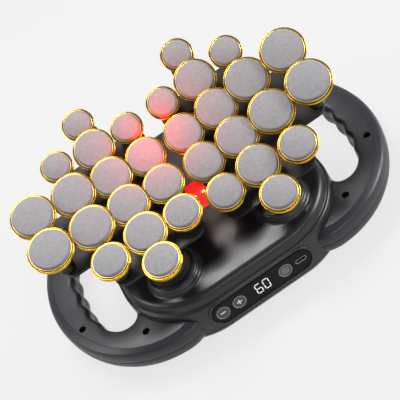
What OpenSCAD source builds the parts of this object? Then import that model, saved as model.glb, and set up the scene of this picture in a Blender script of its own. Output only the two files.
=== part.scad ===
/* [Body] */
// Length of the object across both handles
span = 362; // [350:2:380]
// Width of the central body
body_w = 218; // [214:1:222]
// Depth of the central body
body_d = 229; // [226:1:231]
// Plan radius of the central body's corners
corner_r = 70; // [60:1:75]
// Height of the central cover above the surface the object stands on
cover_top = 57; // [55:1:60]
// Height of the seam between the bottom shell and the central cover
pan_top = 15; // [14:1:17]
// Wall thickness of the shells
wall = 2.4; // [2:0.1:3]
// Gap between shells at a seam
seam_gap = 0.3; // [0.2:0.1:0.5]
// Rounding of the cover's top edge
cover_round = 7; // [5:0.5:8]

/* [Handles] */
// How far the handles stand out past the body, front and back
handle_overhang = 2; // [1:0.5:5]
// Width of the grip, from the finger gap to the outside
grip_w = 32; // [28:1:34]
// Half the length of the finger gap
gap_half_length = 72; // [68:1:74]
// Rounding of the finger gap's corners beside the body
gap_corner = 12; // [8:1:14]
// Height of the handle's flat deck
deck_z = 39; // [37:1:41]
// Height of the handle's underside
handle_z0 = 12; // [11:1:14]
// Height of the seam between the handle's shells
handle_split = 25; // [23:1:27]
// Depth of the finger waves
wave_depth = 2.2; // [1:0.2:3]
// Pitch of the finger waves
wave_pitch = 23; // [20:1:26]

/* [Head groups] */
// Pad radius of a large head beside the middle
inner_pad_r = 16.6; // [15.6:0.1:16.7]
// Pad radius of a large head over the pistons
second_pad_r = 17.4; // [16:0.1:17.5]
// Pad radius of a large head at the outside
outer_pad_r = 18.6; // [17:0.1:18.8]
// Pad radius of a small head at the front
front_pad_r = 15; // [13.6:0.1:15.1]
// Pad radius of a small head at the back
back_pad_r = 12.9; // [12:0.1:13.6]
// Width of the gold rim round a pad
rim_w = 3; // [2.6:0.1:3.1]
// Height of a gold cup
cup_h = 9; // [8.5:0.1:9.5]
// Radius of the black neck under a cup
neck_r = 7; // [5:0.5:8]
// Height of the pads at the middle of a head group, at mid stroke
head_z = 109; // [107:1:114]
// Mean forward slope of a head group, in degrees
group_slope = 16; // [14:0.5:17]
// Radius of the hollow that the heads follow from front to back
hollow_r = 480; // [440:10:560]
// Forward lean of each head beyond the slope, in degrees
head_lean = 11; // [10.5:0.1:11.4]
// Inward lean of the outermost heads, in degrees
side_lean = 5; // [3:0.5:6]
// Rise of the heads at 100 mm from the middle of the object
dish = 9.2; // [9:0.1:10]
// Distance of the first column from the middle of the object
first_column = 20.4; // [20:0.1:21]
// Distance of the second column, and of the pistons, from the middle
piston_x = 56.9; // [56.5:0.1:57.2]
// Distance of the third column
third_column = 94.4; // [94:0.1:95]
// Distance of the fourth column
fourth_column = 134.6; // [134:0.2:136]
// Distance from the pads down to the carrier plate's underside
plate_drop = 17.5; // [17:0.5:18]
// Thickness of the carrier plate
plate_t = 3; // [2.5:0.5:3.5]

/* [Pistons] */
// Distance of the pistons from the middle, front and back
piston_y = 69; // [68:1:70]
// Travel of a piston
stroke = 8; // [6:0.5:8]
// Radius of a piston rod
rod_r = 6; // [5:0.5:7]
// Radial running clearance of rods and pins
running_gap = 0.05; // [0.02:0.01:0.08]
// Radius of a clevis pin
pin_r = 2.5; // [2:0.1:3]
// Height of the front clevis pin at mid stroke
front_pin_z = 68; // [67:0.5:69]
// Height of the rear clevis pin at mid stroke
rear_pin_z = 108; // [107:0.5:109]
// Height of the boss rings
boss_top = 65; // [64:0.5:65.5]
// Outer radius of a boss ring
boss_r = 23.5; // [23:0.5:24.5]
// Radius of the hole through a boss
boss_hole_r = 16; // [15:0.5:17]
// Outer radius of a rubber boot's foot
boot_foot_r = 22.4; // [22:0.1:22.8]
// Outer radius of a boot's lowest rib
boot_r = 20; // [19:0.5:20.5]
// Outer radius of a boot's highest rib
boot_top_r = 18; // [17.5:0.5:18.5]
// Thickness of a boot's rubber
boot_t = 1.4; // [1:0.1:1.6]

/* [Drive] */
// Height of the crankshafts
shaft_z = 26; // [25.5:0.5:27]
// Radius of the crankshafts
shaft_r = 2.5; // [2:0.1:2.8]
// Radius of a crank web
web_r = 8; // [7:0.5:9]
// Thickness of a yoke
yoke_t = 7; // [6:0.5:8]
// Thickness of a yoke's frame
yoke_wall = 3; // [2.5:0.1:3.2]
// Outer radius of a bearing
bearing_r = 6.5; // [6:0.5:7]
// Width of a bearing
bearing_w = 5; // [4:0.5:5]
// Radius of the timing pulleys
timing_r = 9; // [8:0.5:10]
// Radius of the motor's pulley
motor_pulley_r = 5; // [4:0.5:5]
// Radius of the pulley that the motor drives
drive_pulley_r = 10; // [8:0.5:10]
// Radius of the motor
motor_r = 14.5; // [13:0.5:15]
// Length of the motor
motor_length = 50; // [44:1:52]
// Distance of the motor's axis in front of the middle
motor_y = 32; // [30:1:34]

/* [Controls] */
// Length of the glossy control strip
strip_w = 102; // [98:1:104]
// Height of the control strip
strip_h = 22.5; // [21:0.5:24]
// Backward lean of the control strip, in degrees
strip_lean = 9; // [7:1:11]
// Height of the control strip's middle
strip_z = 31.5; // [31:0.5:32]
// Radius of a key
key_r = 6.6; // [6:0.1:7]
// Travel of a key
key_travel = 0.6; // [0.4:0.1:0.8]
// Pitch of the minus and plus keys
key_pitch = 17; // [16:0.5:18]
// Distance of the minus key from the strip's left end
minus_x = 10.5; // [10:0.5:11]
// Distance of the mode key from the strip's right end
mode_x = 26.5; // [26:0.5:27]
// Distance of the charging socket from the strip's right end
port_x = 10; // [9:0.5:10.5]
// Length of the red light window
lamp_l = 38; // [34:1:40]
// Width of the red light window
lamp_w = 25; // [22:1:27]

/* [Hidden] */

$fn = 48;
foot_h = 3;
throw = stroke / 2;
LEFT = -1;
RIGHT = 1;
FRONT = -1;
BACK = 1;
far = 400;

// Slopes of a head group at mid stroke and at the two ends of the stroke
mean_line = atan((rear_pin_z - front_pin_z) / (2 * piston_y));
low_line = atan((rear_pin_z - front_pin_z - stroke) / (2 * piston_y));
high_line = atan((rear_pin_z - front_pin_z + stroke) / (2 * piston_y));

// The left group rests with its front pistons up, the right group with its front pistons down
function front_lift(side) = side == LEFT ? throw : -throw;
function group_rock(side) = side == LEFT ? low_line - mean_line : high_line - mean_line;
function piston_lift(side, end) = end == FRONT ? front_lift(side) : -front_lift(side);

// A rounded rectangle, straight or as a thin slab
module rounded_plan(w, d, r) {
    union() {
        square([w - 2 * r, d], center = true);
        square([w, d - 2 * r], center = true);
        for (sx = [-1, 1])
            for (sy = [-1, 1])
                translate([sx * (w / 2 - r), sy * (d / 2 - r)]) circle(r = r);
    }
}
module slab(w, d, r, z0, z1) {
    translate([0, 0, z0]) linear_extrude(height = z1 - z0) rounded_plan(w, d, r);
}

// Body shells
pan_inset = 9;
pan_corner = 50;
pan_rise = 9;
slab_t = 0.4;
wall_rise = cover_top - cover_round - handle_split;
front_lean = wall_rise * tan(strip_lean);
module body_block(inset) {
    hull() {
        slab(body_w - 2 * inset, body_d + front_lean - 2 * inset, corner_r - inset,
            pan_top - 1, handle_split);
        slab(body_w - 2 * inset - 1, body_d - front_lean - 2 * inset, corner_r - inset,
            cover_top - cover_round - inset - slab_t, cover_top - cover_round - inset);
        slab(body_w - 2 * inset - 4, body_d - front_lean - 4 - 2 * inset, corner_r - inset - 1,
            cover_top - cover_round * 0.3 - inset - slab_t, cover_top - cover_round * 0.3 - inset);
        slab(body_w - 2 * inset - 2 * cover_round, body_d - front_lean - 2 * cover_round - 2 * inset,
            corner_r - inset - 2, cover_top - inset - slab_t, cover_top - inset);
    }
}
module pan_block(inset) {
    hull() {
        slab(body_w - 2 * pan_inset - 2 * inset, body_d - 2 * pan_inset + 6 - 2 * inset, pan_corner - inset,
            foot_h + inset, foot_h + inset + slab_t);
        slab(body_w - 2 * inset, body_d + front_lean - 2 * inset, corner_r - inset,
            foot_h + pan_rise, pan_top + (inset > 0 ? 1 : 0));
    }
}

// Plan curves of a handle: the outside is half an ellipse, the finger gap is a squarer oval
handle_depth = body_d + 2 * handle_overhang;
arm_x = body_w / 2 - 30;
gap_x = body_w / 2 + gap_corner - 2;
gap_power = 0.9;
function signed_power(v, p) = sign(v) * pow(abs(v), p);
waves_each_way = 2.5;
function wave(y) = abs(y) > waves_each_way * wave_pitch ? 0
    : wave_depth / 2 * (1 + cos(360 * y / wave_pitch));
function handle_out(a) = [arm_x + (span / 2 - arm_x) * cos(a), handle_depth / 2 * sin(a)];
function gap_edge(a) = [gap_x + (span / 2 - grip_w - gap_x) * signed_power(cos(a), gap_power),
    gap_half_length * signed_power(sin(a), gap_power)];
function handle_in(a) = gap_edge(a) - [wave(gap_edge(a)[1]), 0];

// Points of the handle's section: side (outer 1, inner -1), distance in from that side's edge,
// level (deck 1, underside -1), distance from that level
section = [[1, 0, -1, 12], [1, 0.7, 1, 9], [1, 2.6, 1, 4.6], [1, 6, 1, 1.6], [1, 9, 1, 0],
    [-1, 4.4, 1, 0], [-1, 1.3, 1, 1.4], [-1, 0, 1, 5], [-1, 0, -1, 9], [-1, 1.4, -1, 3.6],
    [-1, 4.6, -1, 0.6], [-1, 9, -1, 0], [1, 9, -1, 0], [1, 3.4, -1, 1.8], [1, 0.8, -1, 6]];
section_sides = len(section);
function level_z(level, d) = level > 0 ? deck_z - d : handle_z0 + d;

// One ring of the section between an outer and an inner point of the plan
function ring_between(o, i, inset) = let (
    m = (o + i) / 2,
    u = (o - i) / norm(o - i),
    hw = norm(o - i) / 2)
    [for (p = section)
        let (t = p[0] * (hw - p[1] - inset))
        [m[0] + u[0] * t, m[1] + u[1] * t, level_z(p[2], p[3] + inset)]];
function handle_ring(a, inset) = ring_between(handle_out(a), handle_in(a), inset);

// The arms run on into the body: the outside draws in, and the gap's corner turns along the body
arm_run = 29;
arm_draw = 13;
arm_end = 12;
function arm_ring(side, t, inset) = ring_between(
    [arm_x - arm_run * t, side * (handle_depth / 2 - arm_draw * t * t)],
    [gap_x - gap_corner * sin(90 * t), side * (gap_half_length - gap_corner * (1 - cos(90 * t)))], inset);
function arm_last(side, inset) = [for (p = arm_ring(side, 1, inset)) p - [arm_end, 0, 0]];

// A handle's rings run from the front arm round the grip to the rear arm
handle_steps = 56;
arm_steps = 5;
function handle_rings(inset) = concat([arm_last(-1, inset)],
    [for (k = [arm_steps : -1 : 1]) arm_ring(-1, k / arm_steps, inset)],
    [for (k = [0 : handle_steps]) handle_ring(-90 + 180 * k / handle_steps, inset)],
    [for (k = [1 : arm_steps]) arm_ring(1, k / arm_steps, inset)],
    [arm_last(1, inset)]);
module handle_sweep(inset) {
    rings = handle_rings(inset);
    n = section_sides;
    last = len(rings) - 1;
    points = [for (r = rings) each r];
    sides = [for (j = [0 : last - 1])
        for (k = [0 : n - 1])
            let (a = j * n + k, b = j * n + (k + 1) % n, c = a + n, d = b + n)
            each [[a, b, d], [a, d, c]]];
    caps = concat([for (k = [1 : n - 2]) [0, k + 1, k]],
        [for (k = [1 : n - 2]) [last * n, last * n + k, last * n + k + 1]]);
    polyhedron(points = points, faces = concat(sides, caps), convexity = 6);
}
module handle_side(side) {
    if (side == LEFT) mirror([1, 0, 0]) children();
    else children();
}
// Screws on the deck: two toward the outside and two beside the body
function deck_place(a, share) = handle_in(a) + share * (handle_out(a) - handle_in(a));
outer_screw_a = 27;
inner_screw_a = 87;
screw_places = [for (sy = [-1, 1])
    each [deck_place(sy * outer_screw_a, 0.5), deck_place(sy * inner_screw_a, 0.4)]];
screw_r = 1.5;
screw_slack = 0.2;
screw_head_r = 2.9;
screw_head_h = 2.2;
screw_length = 14;
socket_r = 1.2;
socket_depth = 1.2;
screw_recess_r = 3.6;
screw_recess_depth = 6;
boss_tube_r = 5.2;
handle_boss_top = handle_split - seam_gap;
module handle_cover(side) {
    handle_side(side) difference() {
        union() {
            intersection() {
                difference() {
                    handle_sweep(0);
                    handle_sweep(wall);
                }
                translate([0, -far / 2, handle_split]) cube([far, far, deck_z]);
            }
            for (p = screw_places)
                translate([p[0], p[1], handle_split])
                    cylinder(r = boss_tube_r, h = deck_z - handle_split - wall / 2);
        }
        body_block(-seam_gap);
        for (p = screw_places) {
            translate([p[0], p[1], deck_z - screw_recess_depth]) cylinder(r = screw_recess_r, h = far);
            translate([p[0], p[1], 0]) cylinder(r = screw_r + screw_slack, h = deck_z);
        }
    }
}
module handle_base(side) {
    handle_side(side) difference() {
        union() {
            intersection() {
                difference() {
                    handle_sweep(0);
                    handle_sweep(wall);
                }
                translate([0, -far / 2, 0]) cube([far, far, handle_split - seam_gap]);
            }
            for (p = screw_places)
                translate([p[0], p[1], handle_z0 + wall / 2])
                    cylinder(r = boss_tube_r, h = handle_boss_top - handle_z0 - wall / 2);
        }
        slab(body_w + 2 * seam_gap, body_d + front_lean + 2 * seam_gap, corner_r,
            pan_top - seam_gap, deck_z);
        slab(body_w - 2 * wall, body_d - 2 * wall, corner_r - wall, 0, deck_z);
        for (p = screw_places)
            translate([p[0], p[1], handle_z0 + wall + 2]) cylinder(r = screw_r, h = deck_z);
    }
}

// Screws through the floor into the posts of the central cover
post_inset = 17;
side_post_y = 44;
housing_screws_at = concat(
    [for (sx = [-1, 1])
        for (sy = [-1, 1])
            [sx * (body_w / 2 - post_inset), sy * side_post_y]],
    [for (sy = [-1, 1])
        [0, sy * (body_d / 2 - post_inset)]]);
post_r = 4.5;
floor_screw_z = foot_h + 4;
module bottom_housing() {
    color("#38373b") difference() {
        union() {
            difference() {
                pan_block(0);
                pan_block(wall);
            }
            handle_base(LEFT);
            handle_base(RIGHT);
            for (p = housing_screws_at)
                translate([p[0], p[1], foot_h + 1]) cylinder(r = post_r, h = pan_top - foot_h - 2);
            each_board_post()
                translate([0, 0, foot_h + 1]) cylinder(r = board_post_r, h = board_z - foot_h - 1);
        }
        for (p = housing_screws_at) {
            translate([p[0], p[1], 0]) cylinder(r = screw_r + screw_slack, h = pan_top + 1);
            translate([p[0], p[1], 0]) cylinder(r = screw_recess_r, h = floor_screw_z);
        }
        for (p = feet_at)
            translate([p[0], p[1], 0]) cylinder(r = foot_peg_r, h = foot_h + wall + 1);
    }
}
module left_handle_cover() {
    color("#3a393d") handle_cover(LEFT);
}
module right_handle_cover() {
    color("#3a393d") handle_cover(RIGHT);
}
module recessed_screw(length) {
    difference() {
        union() {
            cylinder(r = screw_head_r, h = screw_head_h);
            translate([0, 0, -length]) cylinder(r = screw_r, h = length);
        }
        translate([0, 0, screw_head_h - socket_depth]) cylinder(r = socket_r, h = 2 * socket_depth, $fn = 6);
    }
}
module handle_screws() {
    color("#1b1b1d") for (side = [LEFT, RIGHT])
        for (p = screw_places)
            translate([side * p[0], p[1], deck_z - screw_recess_depth]) recessed_screw(screw_length);
}
module housing_screws() {
    color("#6f7074") for (p = housing_screws_at)
        translate([p[0], p[1], floor_screw_z]) rotate([180, 0, 0]) recessed_screw(screw_length);
}

// Feet with a peg that goes up through the floor
feet_inset = [39, 34.5];
feet_at = [for (sx = [-1, 1])
    for (sy = [-1, 1])
        [sx * (body_w / 2 - feet_inset[0]), sy * (body_d / 2 - feet_inset[1])]];
foot_r = 8;
foot_peg_r = 2.5;
module rubber_feet() {
    color("#161617") for (p = feet_at)
        translate([p[0], p[1], 0]) rotate_extrude()
            polygon([[0, 0], [foot_r - 1, 0], [foot_r, 1], [foot_r, foot_h], [foot_peg_r, foot_h],
                [foot_peg_r, foot_h + wall], [0, foot_h + wall]]);
}

// Central cover with four bosses for the boots
boss_foot_r = 29.5;
ledge_depth = 1.2;
module boss(end, side) {
    translate([side * piston_x, end * piston_y, 0]) rotate_extrude($fn = 64)
        polygon([[boss_hole_r, cover_top - wall], [boss_foot_r, cover_top - wall], [boss_foot_r, cover_top],
            [boss_foot_r - 2, cover_top + 0.8], [boss_r + 1.6, cover_top + 3.2], [boss_r + 0.4, cover_top + 6],
            [boss_r, boss_top - 1.4], [boss_r - 0.6, boss_top - 0.4], [boss_r - 1.4, boss_top],
            [boss_hole_r + 0.8, boss_top], [boss_hole_r, boss_top - 0.8]]);
}
module lamp_plan(grow) {
    rounded_plan(lamp_w + 2 * grow, lamp_l + 2 * grow, 8 + grow);
}
lamp_y = -2;
module top_cover() {
    color("#2c2b2f") difference() {
        union() {
            difference() {
                body_block(0);
                body_block(wall);
                translate([0, 0, -far + pan_top + seam_gap]) cube([2 * far, 2 * far, 2 * far], center = true);
            }
            for (end = [FRONT, BACK])
                for (side = [LEFT, RIGHT])
                    boss(end, side);
            for (p = housing_screws_at)
                translate([p[0], p[1], pan_top + seam_gap])
                    cylinder(r = post_r, h = cover_top - wall / 2 - pan_top - seam_gap);
        }
        for (end = [FRONT, BACK])
            for (side = [LEFT, RIGHT])
                translate([side * piston_x, end * piston_y, 0]) cylinder(r = boss_hole_r, h = far, $fn = 64);
        for (p = housing_screws_at)
            translate([p[0], p[1], pan_top - 1]) cylinder(r = screw_r, h = screw_length);
        translate([0, lamp_y, cover_top - wall - 1]) linear_extrude(height = wall + 2) lamp_plan(0.2);
        strip_frame() translate([0, 0, -strip_t])
            linear_extrude(height = 2 * strip_t) stadium(strip_w, strip_h, strip_gap);
        strip_frame() translate([0, 0, -strip_t - 2 * wall])
            linear_extrude(height = 4 * wall) stadium(strip_w - 2 * strip_seat, strip_h - 2 * strip_seat, 0);
    }
}

// Control strip, in its own frame: x along the strip, y up the wall, z out of the wall
strip_t = 1.3;
strip_gap = 0.25;
strip_seat = 2.4;
strip_proud = 0.5;
strip_face = (body_d + front_lean) / 2 - (strip_z - handle_split) * tan(strip_lean);
module strip_frame() {
    translate([0, -strip_face, strip_z]) rotate([90 - strip_lean, 0, 0]) children();
}
module stadium(w, h, grow) {
    union() {
        square([w - h, h + 2 * grow], center = true);
        for (s = [-1, 1])
            translate([s * (w - h) / 2, 0]) circle(r = h / 2 + grow);
    }
}
minus_place = minus_x - strip_w / 2;
mode_place = strip_w / 2 - mode_x;
port_place = strip_w / 2 - port_x;
keys_at = [minus_place, minus_place + key_pitch, mode_place];
display_x = 1;
display_w = 21;
display_h = 17;
display_gap = 0.1;
window_back_z = -1.6;
key_gap = 0.3;
port_w = 11;
port_h = 4.2;
module control_strip() {
    color("#0b0b0c") strip_frame() difference() {
        union() {
            translate([0, 0, -strip_t + strip_gap])
                linear_extrude(height = strip_t - strip_gap) stadium(strip_w, strip_h, 0);
            translate([0, 0, -strip_gap])
                linear_extrude(height = strip_proud + strip_gap) stadium(strip_w - 2, strip_h - 2, 0);
        }
        for (x = keys_at)
            translate([x, 0, -far / 2]) cylinder(r = key_r + key_gap, h = far);
        translate([display_x, 0, 0])
            cube([display_w + 2 * display_gap, display_h + 2 * display_gap, far], center = true);
        translate([port_place, 0, -far / 2]) linear_extrude(height = far) stadium(port_w, port_h, 0);
    }
}
module display_window() {
    color("#101114", 0.9) strip_frame()
        translate([display_x - display_w / 2, -display_h / 2, window_back_z])
            cube([display_w, display_h, strip_proud - display_gap - window_back_z]);
}
module display_module() {
    color("#202125") strip_frame()
        translate([display_x - display_w / 2, -display_h / 2, board_face + display_gap])
            cube([display_w, display_h, window_back_z - board_face - 4 * display_gap]);
}
// The key is a round disc with a raised ring, on a stem that reaches its switch
key_face = 0.9;
key_t = 2.6;
key_stem_h = 1.6;
key_stem_r = 2;
key_dish = 0.35;
module key(x) {
    strip_frame() translate([x, 0, 0]) union() {
        rotate_extrude() polygon([[0, key_face - key_t], [key_r, key_face - key_t], [key_r, key_face - 0.3],
            [key_r - 0.3, key_face], [key_r - 1, key_face], [key_r - 1.3, key_face - key_dish],
            [0, key_face - key_dish]]);
        translate([0, 0, key_face - key_t - key_stem_h]) cylinder(r = key_stem_r, h = key_stem_h + 0.1);
    }
}
module minus_key() {
    color("#4a4b4f") key(minus_place);
}
module plus_key() {
    color("#4a4b4f") key(minus_place + key_pitch);
}
module mode_key() {
    color("#4a4b4f") key(mode_place);
}
switch_h = 2;
board_t = 1.6;
switch_w = 6;
switch_button_h = 0.6;
switch_face = key_face - key_t - key_stem_h - key_travel - 0.15;
board_face = switch_face - switch_h;
module key_switches() {
    color("#c9c9c4") strip_frame() for (x = keys_at)
        translate([x, 0, board_face]) union() {
            translate([-switch_w / 2, -switch_w / 2, 0])
                cube([switch_w, switch_w, switch_h - switch_button_h]);
            cylinder(r = 1.7, h = switch_h);
        }
}
board_inset = 4;
board_hole_r = 1.2;
module control_board() {
    color("#1d5a3a") strip_frame() difference() {
        translate([0, 0, board_face - board_t / 2])
            cube([strip_w - 2 * board_inset, strip_h - 2 * board_inset, board_t], center = true);
        translate([port_place, 0, board_face - board_t / 2])
            cube([port_w + 2, port_h + 2, board_t + 2], center = true);
        for (s = [-1, 1])
            translate([s * (strip_w / 2 - 2 * board_inset), 0, -far / 2]) cylinder(r = board_hole_r, h = far);
    }
}
port_depth = 8;
port_floor = 1;
module charging_port() {
    color("#8b8c90") strip_frame() translate([port_place, 0, -port_depth]) difference() {
        linear_extrude(height = port_depth + 0.2) stadium(port_w - 0.4, port_h - 0.4, 0);
        translate([0, 0, port_floor])
            linear_extrude(height = port_depth) stadium(port_w - 1.6, port_h - 1.6, 0);
    }
}

// Red window between the head groups, with its board and two lamps
lamp_proud = 0.4;
lamp_rim_t = 1.2;
lamp_rim_w = 1.5;
lamp_rim_top = cover_top - wall - 0.05;
module lamp_window() {
    color("#c01010", 0.8) translate([0, lamp_y, 0]) union() {
        translate([0, 0, lamp_rim_top - lamp_rim_t])
            linear_extrude(height = cover_top + lamp_proud - lamp_rim_top + lamp_rim_t) lamp_plan(0);
        translate([0, 0, lamp_rim_top - lamp_rim_t])
            linear_extrude(height = lamp_rim_t) lamp_plan(lamp_rim_w);
    }
}
lamp_pitch = 10.6;
lamp_spot_y = -7;
lamp_r = 1.8;
lamp_h = 1.9;
module lamp_board() {
    color("#e8e6df") translate([0, 0, guide_z + guide_t + 0.05]) union() {
        translate([-lamp_w / 2, lamp_y - lamp_l / 2, 0]) cube([lamp_w, lamp_l, board_t]);
        for (s = [-1, 1])
            translate([s * lamp_pitch / 2, lamp_spot_y, board_t / 2])
                cylinder(r = lamp_r, h = board_t / 2 + lamp_h);
    }
}

// Places of the heads: distance from the middle, distance along the hollow, pad radius
row_pitch = 36.4;
outer_row_gap = 41.4;
outer_row_shift = -3.5;
small_row = 56.5;
third_front_row = 64;
front_end_row = 91;
back_end_row = 86.5;
function large_heads() = concat(
    [for (s = [-1, 1]) [first_column, s * row_pitch / 2, inner_pad_r]],
    [for (s = [-1, 1]) [piston_x, s * row_pitch / 2, second_pad_r]],
    [for (s = [-1, 1]) [third_column, s * outer_row_gap / 2, outer_pad_r]],
    [for (s = [-1, 1]) [fourth_column, s * outer_row_gap / 2 + outer_row_shift, outer_pad_r]],
    [for (s = [-1, 1]) [piston_x, s * row_pitch * 1.5, second_pad_r]]);
function small_heads() = concat(
    [[first_column, -small_row, front_pad_r], [third_column, -third_front_row, front_pad_r]],
    [for (x = [first_column, third_column]) [x, small_row, back_pad_r]],
    [[piston_x, -front_end_row, front_pad_r], [piston_x, back_end_row, back_pad_r]]);
heads = concat(large_heads(), small_heads());

// The hollow that the pads follow
function slope_at(s) = group_slope + s / hollow_r * 180 / PI;
function hollow_y(s) = hollow_r * (sin(slope_at(s)) - sin(group_slope));
function hollow_z(s) = head_z + hollow_r * (cos(group_slope) - cos(slope_at(s)));
function dish_rise(x) = dish * x * x / 10000;
// The outer heads lean in less than the dish does, so that each column's rims step over the next
function side_slope(x) = side_lean * pow(x / fourth_column, 3);

// A head group is drawn at mid stroke and set on its front pin
module group_frame(side) {
    translate([0, FRONT * piston_y, front_pin_z + front_lift(side)])
        rotate([group_rock(side), 0, 0])
            translate([0, -FRONT * piston_y, -front_pin_z])
                if (side == LEFT) mirror([1, 0, 0]) children();
                else children();
}
module head_frame(h) {
    translate([h[0], hollow_y(h[1]), hollow_z(h[1]) + dish_rise(h[0])])
        rotate([slope_at(h[1]) + head_lean, 0, 0])
            rotate([0, -side_slope(h[0]), 0])
                children();
}
// A pad has a thin wide edge and a thicker core that sits down in the cup
pad_t = 4;
pad_edge_t = 1.1;
pad_step = 4.2;
pad_gap = 0.15;
pad_crown = 0.9;
module pad(r) {
    core = r - pad_step - pad_gap;
    edge = r - pad_gap;
    rotate_extrude() polygon([[0, -pad_t], [core, -pad_t], [core, -pad_edge_t], [edge, -pad_edge_t],
        [edge, -0.5], [r - 0.7, 0.25], [r * 0.75, pad_crown * 0.65], [r * 0.4, pad_crown * 0.93],
        [0, pad_crown]]);
}
// A cup has a narrow foot, a flared wall, and a rim of two beads
module cup(r) {
    rim = r + rim_w;
    rotate_extrude() polygon([[0, -cup_h], [r - 5.8, -cup_h], [r - 5.2, -cup_h + 0.6], [r - 5.2, -5.8],
        [r - 2, -2.9], [r - 0.6, -2.05], [rim - 1.2, -1.75], [rim - 0.3, -1.45], [rim, -1],
        [rim - 0.25, -0.5], [rim - 0.8, -0.3], [rim - 1.3, -0.4], [rim - 1.5, -0.55], [r + 1.3, -0.2],
        [r + 0.8, 0.1], [r + 0.3, 0.05], [r, -0.2], [r, -pad_edge_t], [r - pad_step, -pad_edge_t],
        [r - pad_step, -pad_t], [0, -pad_t]]);
}
module neck(h) {
    plate_point = plate_top(h);
    head_point = [h[0], hollow_y(h[1]), hollow_z(h[1]) + dish_rise(h[0])]
        + turn_down(slope_at(h[1]) + head_lean, side_slope(h[0]), cup_h - 0.6);
    span_v = head_point - plate_point;
    length = norm(span_v);
    translate(plate_point)
        rotate([0, acos(span_v[2] / length), atan2(span_v[1], span_v[0])])
            translate([0, 0, -1]) cylinder(r = neck_r, h = length + 1 - neck_r * sin(head_lean));
}
// The vector down a head's own axis
function turn_down(forward, inward, d) =
    d * [sin(inward), sin(forward) * cos(inward), -cos(forward) * cos(inward)];
function plate_top(h) = [h[0], hollow_y(h[1]) + (plate_drop - plate_t) * sin(slope_at(h[1])),
    hollow_z(h[1]) - (plate_drop - plate_t) * cos(slope_at(h[1]))];

// The carrier plate is a curved sheet under the heads
side_front = 32;
side_back = 30;
row_front = 73;
row_back = 62;
tip_front = 94.5;
tip_back = 92;
hollow_axis_y = -hollow_r * sin(group_slope);
hollow_axis_z = head_z + hollow_r * cos(group_slope);
module hollow_drum(drop) {
    translate([-far / 2, hollow_axis_y, hollow_axis_z])
        rotate([0, 90, 0]) cylinder(r = hollow_r + drop, h = far, $fn = 256);
}
module outside_hollow_drum(drop) {
    difference() {
        translate([0, -far / 2, 0]) cube([far, far, far]);
        hollow_drum(drop);
    }
}
module bar_plan(x0, x1, y0, y1, r) {
    translate([(x0 + x1) / 2, (y0 + y1) / 2]) rounded_plan(x1 - x0, y1 - y0, r);
}
window_w = 13;
window_front = 25;
window_back = 44;
module plate_plan() {
    difference() {
        union() {
            bar_plan(first_column - 12, fourth_column + 4, -side_front, side_back, 10);
            bar_plan(first_column - 10, third_column + 8, -row_front, row_back, 12);
            bar_plan(piston_x - 13, piston_x + 13, -tip_front, tip_back, 10);
        }
        for (x = [(first_column + piston_x) / 2, (piston_x + third_column) / 2])
            bar_plan(x - window_w / 2, x + window_w / 2, window_front, window_back, 4);
    }
}
lug_gap = 5.4;
lug_t = 4;
lug_r = 6;
pin_slack = 0.3;
slot_half = 2.3;
lug_reach = 10;
module lug(pin_z, end, slotted) {
    for (s = [-1, 1])
        translate([piston_x + s * (lug_gap + lug_t / 2) - lug_t / 2, end * piston_y, pin_z])
            rotate([90, 0, 90]) linear_extrude(height = lug_t) union() {
                circle(r = lug_r);
                translate([-lug_r, 0]) square([2 * lug_r, lug_reach]);
                if (slotted) {
                    translate([-slot_half, 0]) circle(r = lug_r);
                    translate([slot_half, 0]) circle(r = lug_r);
                }
            }
}
module pin_bore(pin_z, end, slack, reach) {
    translate([piston_x - far / 2, end * piston_y, pin_z]) rotate([90, 0, 90]) union() {
        for (s = reach > 0 ? [-reach, reach] : [0])
            translate([s * cos(mean_line), s * sin(mean_line), 0]) cylinder(r = pin_r + slack, h = far);
        if (reach > 0)
            rotate([0, 0, mean_line])
                translate([-reach, -pin_r - slack, 0]) cube([2 * reach, 2 * (pin_r + slack), far]);
    }
}
module carrier_plate(side) {
    group_frame(side) difference() {
        union() {
            intersection() {
                difference() {
                    hollow_drum(plate_drop);
                    hollow_drum(plate_drop - plate_t);
                }
                linear_extrude(height = far) plate_plan();
            }
            difference() {
                union() {
                    lug(front_pin_z, FRONT, false);
                    lug(rear_pin_z, BACK, true);
                }
                hollow_drum(plate_drop - plate_t / 2);
            }
        }
        pin_bore(front_pin_z, FRONT, 0, 0);
        pin_bore(rear_pin_z, BACK, pin_slack, slot_half);
    }
}
module left_carrier_plate() {
    color("#17171a") carrier_plate(LEFT);
}
module right_carrier_plate() {
    color("#17171a") carrier_plate(RIGHT);
}
module head_necks(side) {
    group_frame(side) for (h = heads) difference() {
        neck(h);
        head_frame(h) translate([0, 0, -cup_h]) cylinder(r = h[2], h = far);
        outside_hollow_drum(plate_drop - plate_t);
    }
}
module left_head_necks() {
    color("#1d1d20") head_necks(LEFT);
}
module right_head_necks() {
    color("#1d1d20") head_necks(RIGHT);
}
module head_cups(side) {
    group_frame(side) for (h = heads) head_frame(h) cup(h[2]);
}
module left_head_cups() {
    color("#d9a520") head_cups(LEFT);
}
module right_head_cups() {
    color("#d9a520") head_cups(RIGHT);
}
module head_pads(side) {
    group_frame(side) for (h = heads) head_frame(h) pad(h[2]);
}
module left_head_pads() {
    color("#a8a8ab") head_pads(LEFT);
}
module right_head_pads() {
    color("#a8a8ab") head_pads(RIGHT);
}

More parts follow.
